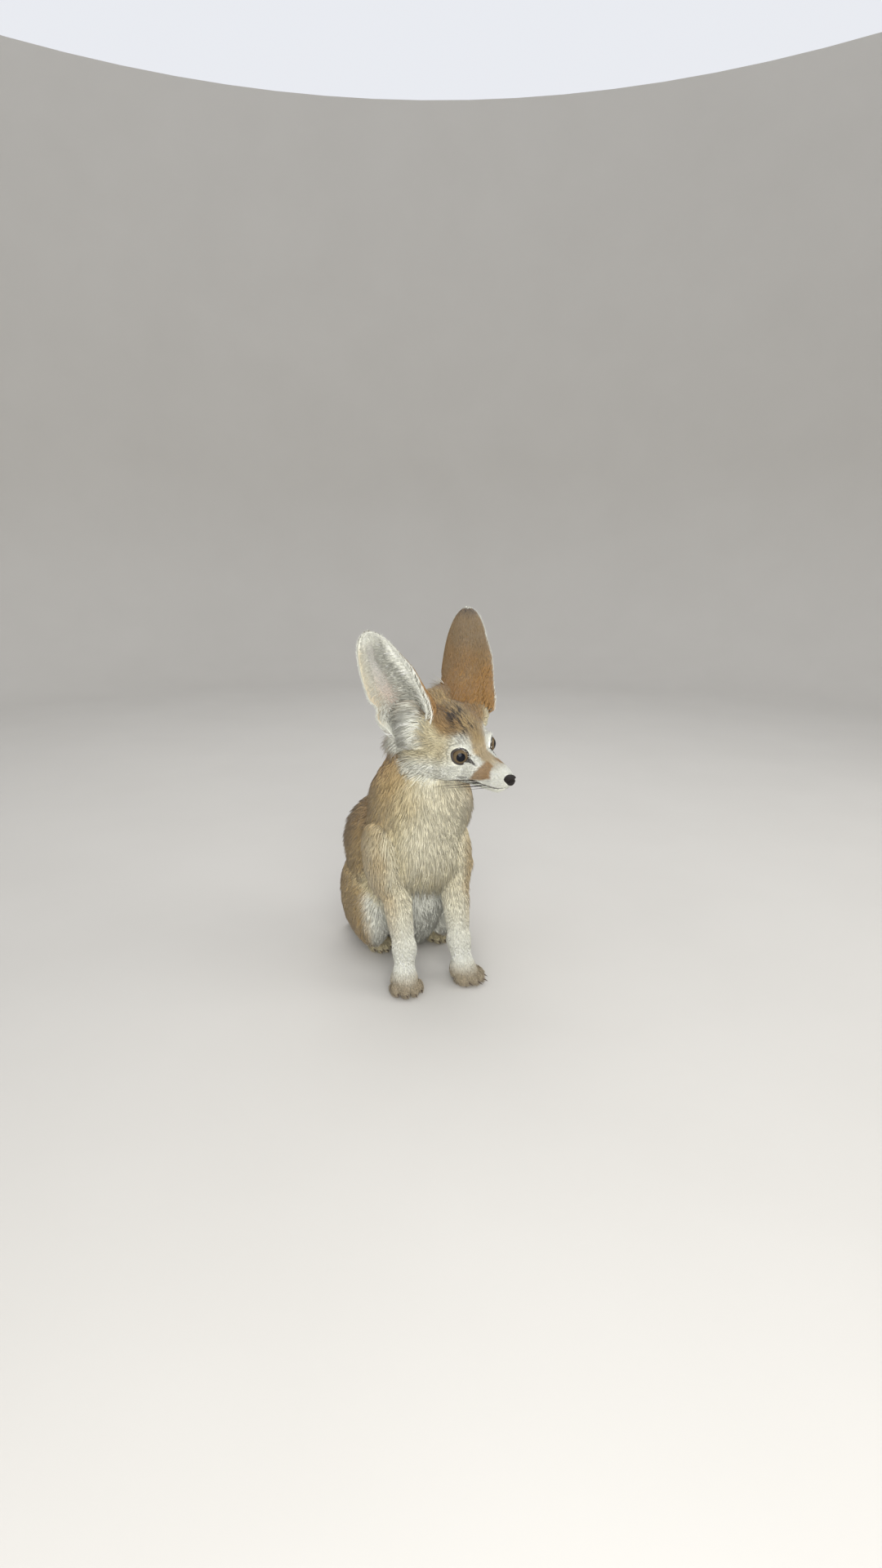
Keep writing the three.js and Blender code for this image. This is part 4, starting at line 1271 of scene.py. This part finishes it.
for side in (-1, 1):
    name = "right" if side < 0 else "left"
    h, quads, u, v, inner = ear_cup(side)
    colour = np.where(inner[:, None] > 0, ear_inside_colour(h, u, v), ear_back_colour(h, u, v))
    cup = piece("ear_" + name + "_skin", to_body(h), quads, SKIN, colour)
    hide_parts("ear_" + name)
    random = np.random.default_rng(40 + side)

    # Short hair on the back, which runs from the seat to the tip.
    count = 7800
    v = random.random(count) ** 0.9
    u = random.random(count) * 2 - 1
    low = rise(0.3, 0, v)
    back = ear_surface(side, u, v, EAR_WALL / 2)
    tone = paint(ear_back_colour(back, u, v), BLACK, 0.8 * rise(0.86, 0.95, v) * (random.random(count) < 0.4))
    tone = paint(tone, WHITE, rise(0.982, 0.992, v))
    inner = rise(-0.3, -0.85, u) * rise(0.75, 0.45, v)
    ahead = 4.6 + 3.5 * low + 2 * inner
    lift = 0.8 + 2.4 * low + 3.0 * inner
    ear_hair(side, "back_" + name, u, v, EAR_WALL / 2, 1.2 * u, ahead, (0.25, lift), tone, random)

    # Long white hair inside: it springs from the inner edge and the seat, and lies across the cup.
    count = 5800
    v = random.random(count)
    u = -0.97 + 1.94 * random.random(count) ** 1.6
    near_edge = rise(0.25, -0.35, u)
    outer_edge = rise(0.45, 0.8, u)
    bottom = rise(0.40, 0.15, v)
    long = near_edge * rise(0.97, 0.7, v)
    over = (9.0 + 5.0 * bottom) * long - 4.5 * outer_edge + 1.0 * (1 - near_edge) * (1 - outer_edge)
    ahead = 2.5 - 1.5 * long + 5.0 * bottom
    lift = 0.7 + 1.2 * long + 1.5 * bottom
    inside = ear_surface(side, u, v, -EAR_WALL / 2)
    tone = paint(ear_inside_colour(inside, u, v), WHITE, 0.55 + 0.45 * np.maximum(long, bottom))
    ear_hair(side, "inside_" + name, u, v, -EAR_WALL / 2, over, ahead, (0.17, lift), tone, random)

    # Short hair that stands out from the rim.
    count = 2200
    top = random.random(count) < 0.14
    u = np.where(top, random.random(count) * 2 - 1, np.where(random.random(count) < 0.5, -0.99, 0.99))
    v = np.where(top, 0.985 + 0.012 * random.random(count), random.random(count) * 0.9 + 0.08)
    rim = ear_surface(side, u, v, 0 * u)
    outward = unit(rim - ear_surface(side, u * 0.94, np.where(top, v - 0.03, v), 0 * u))
    ahead = unit(ear_surface(side, u, np.minimum(v + 0.02, 1), 0 * u) - ear_surface(side, u, v - 0.02, 0 * u))
    size_rim = np.stack([np.full(count, 3.0), np.full(count, 0.17), np.full(count, 0.7)], -1)
    size_rim = size_rim * blended(0.6, 1.2, random.random((count, 1)))
    tone = np.clip(WHITE * (1 + 0.07 * random.standard_normal((count, 1))), 0, 0.92)
    up_rim = unit(outward - ahead * 0.2) @ HEAD_AXES.T
    lie_rim = combed((ahead + outward * 0.5) @ HEAD_AXES.T, up_rim, 0.3, random)
    hair = (to_body(rim), up_rim, lie_rim, size_rim, tone, inset((u + 1) / 2, v))
    coat_piece("coat_ear_rim_" + name, *hair, COAT, "coat_white")


# Tail. A bush of long hair with a black tip, on a thin core of bone and skin. It is laid on the floor
# behind the fox and curved to its left.

TAIL_LINE = np.array([[0, 92, 20], [8, 118, 18], [28, 146, 18], [62, 168, 17], [100, 180, 14]], float)
TAIL_RADIUS = 21.0
TAIL_HAIR_DEPTH = 9.0


def curve_points(line, count):
    """Points on a smooth curve through the line's corners, spaced by the root of their distance."""
    ends = np.concatenate([[2 * line[0] - line[1]], line, [2 * line[-1] - line[-2]]])
    out = []
    for t in np.linspace(0, len(line) - 1, count):
        i = min(int(t), len(line) - 2)
        p = ends[i : i + 4]
        k = np.r_[0, np.cumsum(np.sqrt(np.linalg.norm(np.diff(p, axis=0), axis=1)))]
        s = blended(k[1], k[2], t - i)
        a = [((k[j + 1] - s) * p[j] + (s - k[j]) * p[j + 1]) / (k[j + 1] - k[j]) for j in range(3)]
        b = [((k[j + 2] - s) * a[j] + (s - k[j]) * a[j + 1]) / (k[j + 2] - k[j]) for j in range(2)]
        out.append(((k[2] - s) * b[0] + (s - k[1]) * b[1]) / (k[2] - k[1]))
    return np.array(out)


def tail_radius(t):
    bulk = TAIL_RADIUS * blended(0.62, 0.92, np.sin(np.pi * np.minimum(1, t * 0.85 + 0.12)) ** 0.7)
    return bulk * np.where(t > 0.82, 1 - (t - 0.82) * 3, 1)


def tail_core(t):
    """The tail without its hair."""
    return np.maximum(tail_radius(t) - TAIL_HAIR_DEPTH, 1.5)


ROWS, TURNS = 90, 40
line = curve_points(TAIL_LINE, ROWS)
t = np.linspace(0, 1, ROWS)
along = unit(np.gradient(line, axis=0))
aside = unit(np.cross(along, [0, 0, 1.0]))
above = np.cross(aside, along)
turn = np.linspace(0, 2 * np.pi, TURNS, endpoint=False)
ring = np.cos(turn)[None, :, None] * aside[:, None] + np.sin(turn)[None, :, None] * above[:, None]
tail_points = line[:, None] + ring * tail_core(t)[:, None, None]
ends = line[:1] - along[:1] * 3, line[-1:] + along[-1:] * 2
tail_points = np.concatenate([tail_points.reshape(-1, 3), *ends])


def tail_colour(p, t, high):
    colour = paint(np.broadcast_to(BUFF, p.shape), RUFOUS, 0.35 + 0.25 * ripple(p, 15, 8.0))
    colour = paint(colour, SAND, 0.6 * high)
    return paint(colour, BLACK, rise(0.80, 0.92, t + 0.02 * ripple(p, 6, 9.0)))


tone = tail_colour(tail_points, np.r_[np.repeat(t, TURNS), 0, 1], np.zeros(len(tail_points)))
tail = piece("tail_skin", tail_points, ring_faces(ROWS, TURNS), SKIN, tone)
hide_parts("tail_root", "tail_end", "tail_tip")
random = np.random.default_rng(61)
count = 12000
pick = random.random(count) * 0.985
turn = random.random(count) * 2 * np.pi


def on_line(values):
    return np.stack([np.interp(pick, t, values[:, i]) for i in range(3)], -1)


base, ahead, side_way, up_way = on_line(line), on_line(along), on_line(aside), on_line(above)
out = np.cos(turn)[:, None] * side_way + np.sin(turn)[:, None] * up_way
roots_tail = base + out * tail_core(pick)[:, None]
below = (roots_tail[:, 2] - 1.0) / np.maximum(-out[:, 2], 0.05)
room = np.minimum(TAIL_HAIR_DEPTH, np.where(out[:, 2] < 0, below, 99))
size_tail = np.stack([np.full(count, 19.0), np.full(count, 0.46), np.clip(room, 0.8, 8.5)], -1)
size_tail = size_tail * blended(0.75, 1.15, random.random((count, 1)))
size_tail[:, 0] *= blended(1, 0.6, rise(0.8, 0.95, pick))
tone = tail_colour(roots_tail, pick, rise(0.3, 0.9, out[:, 2]))
tone = np.clip(tone * (1 + 0.1 * random.standard_normal((count, 1))), 0.01, 0.9)
lie_tail = combed(ahead, out, 0.2, random)
hair = (roots_tail, out, lie_tail, size_tail, tone, inset(turn / (2 * np.pi), pick))
coat_piece("coat_tail", *hair, COAT, "coat_sand")


# Whiskers. Fine black bristles from the sides of the muzzle, swept back past the cheeks, and a few
# above the eyes. Each is one long tapering hair.


def whisker_finish():
    made = Finish("whiskers", Roughness=0.4)
    fade = made.node("ShaderNodeSeparateXYZ", None, {0: made.attribute("strand", 1)}, 1)
    tone = made.node("ShaderNodeRGB")
    tone.socket.default_value = (0.015, 0.012, 0.01, 1)
    return made.feed(Base_Color=tone.tinted((0.12, 0.09, 0.06), fade.step(0.4, 1.0)))


random = np.random.default_rng(8)
whisker_roots, whisker_up, whisker_lie, whisker_size = [], [], [], []
for side in (-1, 1):
    for row in range(4):
        for column in range(5):
            y = -54 + column * 3.2 + random.random() * 1.2
            z = -15.5 - row * 1.7 + random.random() * 0.6
            origin = np.array([0, y, z])
            direction = np.array([float(side), 0.0, 0.0])
            reach = face_distance(origin, direction[None])[0]
            whisker_roots.append(origin + direction * (reach - 0.3))
            whisker_up.append([side, -0.1, 0.35 - 0.12 * row])
            whisker_lie.append([side * 0.62, 1.0, -0.16 - 0.09 * row + random.random() * 0.14])
            whisker_size.append([38 + column * 6 + random.random() * 10, 0.24, 3 + random.random() * 3])
    for i in range(3):
        whisker_roots.append(np.array([side * (11 + 1.5 * i), -22.0 + i, 9.0]))
        whisker_up.append([side * 0.3, -0.3, 1.0])
        whisker_lie.append([side * 0.6, 0.8, 0.8])
        whisker_size.append([16 + 2 * i, 0.1, 5.0])
whisker_roots, whisker_up = np.array(whisker_roots), unit(np.array(whisker_up))
whisker_lie, whisker_size = unit(np.array(whisker_lie)), np.array(whisker_size)
coat_piece(
    "whiskers", to_body(whisker_roots), whisker_up @ HEAD_AXES.T,
    combed(whisker_lie @ HEAD_AXES.T, whisker_up @ HEAD_AXES.T, 0.05, random), whisker_size,
    np.zeros((len(whisker_roots), 3)), head_unwrap(to_body(whisker_roots)), whisker_finish(), "coat_dark",
    Sides=5, Segments=12, Root_width=1.0, Belly=0.0, Flatness=0.02, Arch=1.0,
)


# Claws. Short dark curved hooks of horn at the front of every toe. They stand on the toe's bare end and
# are half hidden by its hair.


def claw_finish():
    made = Finish("claws", Roughness=0.35)
    place = made.place()
    tone = made.node("ShaderNodeRGB")
    tone.socket.default_value = (0.07, 0.05, 0.038, 1)
    return made.feed(Base_Color=tone.tinted((0.20, 0.15, 0.11), made.noise(place, 700.0).step(0.4, 0.8)))


claw_roots, claw_size = [], []
claw_up, claw_lie = [], []
for paw in PAWS:
    pointing = turned(z=np.radians(paw[4]))
    for dx, dy, half in TOES:
        claw_roots.append([*toe_place(paw, dx, dy - paw[2] + 1.6), TOE_HEIGHT])
        claw_size.append([6.0, 1.15, 1.5])
        claw_up.append(pointing @ unit(np.array([0, -0.35, 1.0])))
        claw_lie.append(pointing @ unit(np.array([0, -1.0, -0.75])))
claw_roots, claw_size, claw_up, claw_lie = [np.array(a) for a in (claw_roots, claw_size, claw_up, claw_lie)]
coat_piece(
    "claws", claw_roots, claw_up, claw_lie, claw_size, np.zeros((len(claw_roots), 3)),
    np.c_[(claw_roots[:, 0] + 60) / 120, (claw_roots[:, 1] + 80) / 140], claw_finish(), "coat_dark",
    Sides=10, Segments=8, Root_width=1.0, Belly=0.0, Flatness=0.75, Arch=0.9,
)


# Studio: a pale floor that rises into a wall all round, soft light from the front and above, and the
# camera where the photographer stood.

FLOOR_REACH, SWEEP, WALL = 1.5, 0.6, 1.6
SIDES = 96
bends = np.linspace(0.1, np.pi / 2, 12)
profile = [(FLOOR_REACH, 0)]
profile += [(FLOOR_REACH + SWEEP * np.sin(a), SWEEP - SWEEP * np.cos(a)) for a in bends]
profile += [(FLOOR_REACH + SWEEP, WALL)]
turns = np.linspace(0, 2 * np.pi, SIDES, endpoint=False)
verts, faces = [], []
for radius, height in profile:
    verts += [(radius * np.cos(a), radius * np.sin(a), height) for a in turns]
for low in range(0, (len(profile) - 1) * SIDES, SIDES):
    for i in range(SIDES):
        j = (i + 1) % SIDES
        faces.append([low + i, low + SIDES + i, low + SIDES + j, low + j])
faces.append(list(range(SIDES)))
floor_mesh = bpy.data.meshes.new("floor")
floor_mesh.from_pydata(verts, [], faces)
floor_mesh.shade_smooth()
floor_look = Finish("studio_floor", Roughness=0.85)
pale = floor_look.node("ShaderNodeRGB")
pale.socket.default_value = (0.62, 0.60, 0.56, 1)
mottled = pale.tinted((0.58, 0.56, 0.52), floor_look.noise(floor_look.place(), 6.0))
floor_mesh.materials.append(floor_look.feed(Base_Color=mottled))
floor = bpy.data.objects.new("floor", floor_mesh)
bpy.context.scene.collection.objects.link(floor)

world = bpy.data.worlds.new("studio")
world.use_nodes = True
world.node_tree.nodes["Background"].inputs["Color"].default_value = (0.93, 0.95, 1.0, 1)
world.node_tree.nodes["Background"].inputs["Strength"].default_value = 0.88
bpy.context.scene.world = world
bpy.context.scene.view_settings.view_transform = "Standard"


def soft_light(name, place, aim, size, power):
    data = bpy.data.lights.new(name, "AREA")
    data.shape, data.size, data.energy = "DISK", size, power
    made = bpy.data.objects.new(name, data)
    made.location = place
    made.rotation_euler = (Vector(aim) - Vector(place)).to_track_quat("-Z", "Y").to_euler()
    bpy.context.scene.collection.objects.link(made)


soft_light("key", (-0.25, -1.0, 0.4), (0, 0, 0.15), 0.8, 9)
soft_light("fill", (0.9, -0.5, 0.6), (0, 0, 0.15), 0.8, 3)
soft_light("top", (0.1, 0.5, 1.2), (0, 0, 0.15), 0.8, 3.5)

CAMERA_PLACE = np.array([-204.0, -624.8, 350.0])
CAMERA_TURN, CAMERA_DIP = np.radians([20.0, 16.0])
camera = bpy.data.objects.new("camera", bpy.data.cameras.new("camera"))
camera.data.lens, camera.data.sensor_width = 18.75, 36.0
camera.location = in_scene(CAMERA_PLACE)
camera.rotation_euler = (np.pi / 2 - CAMERA_DIP, 0, -CAMERA_TURN)
bpy.context.scene.collection.objects.link(camera)
bpy.context.scene.camera = camera
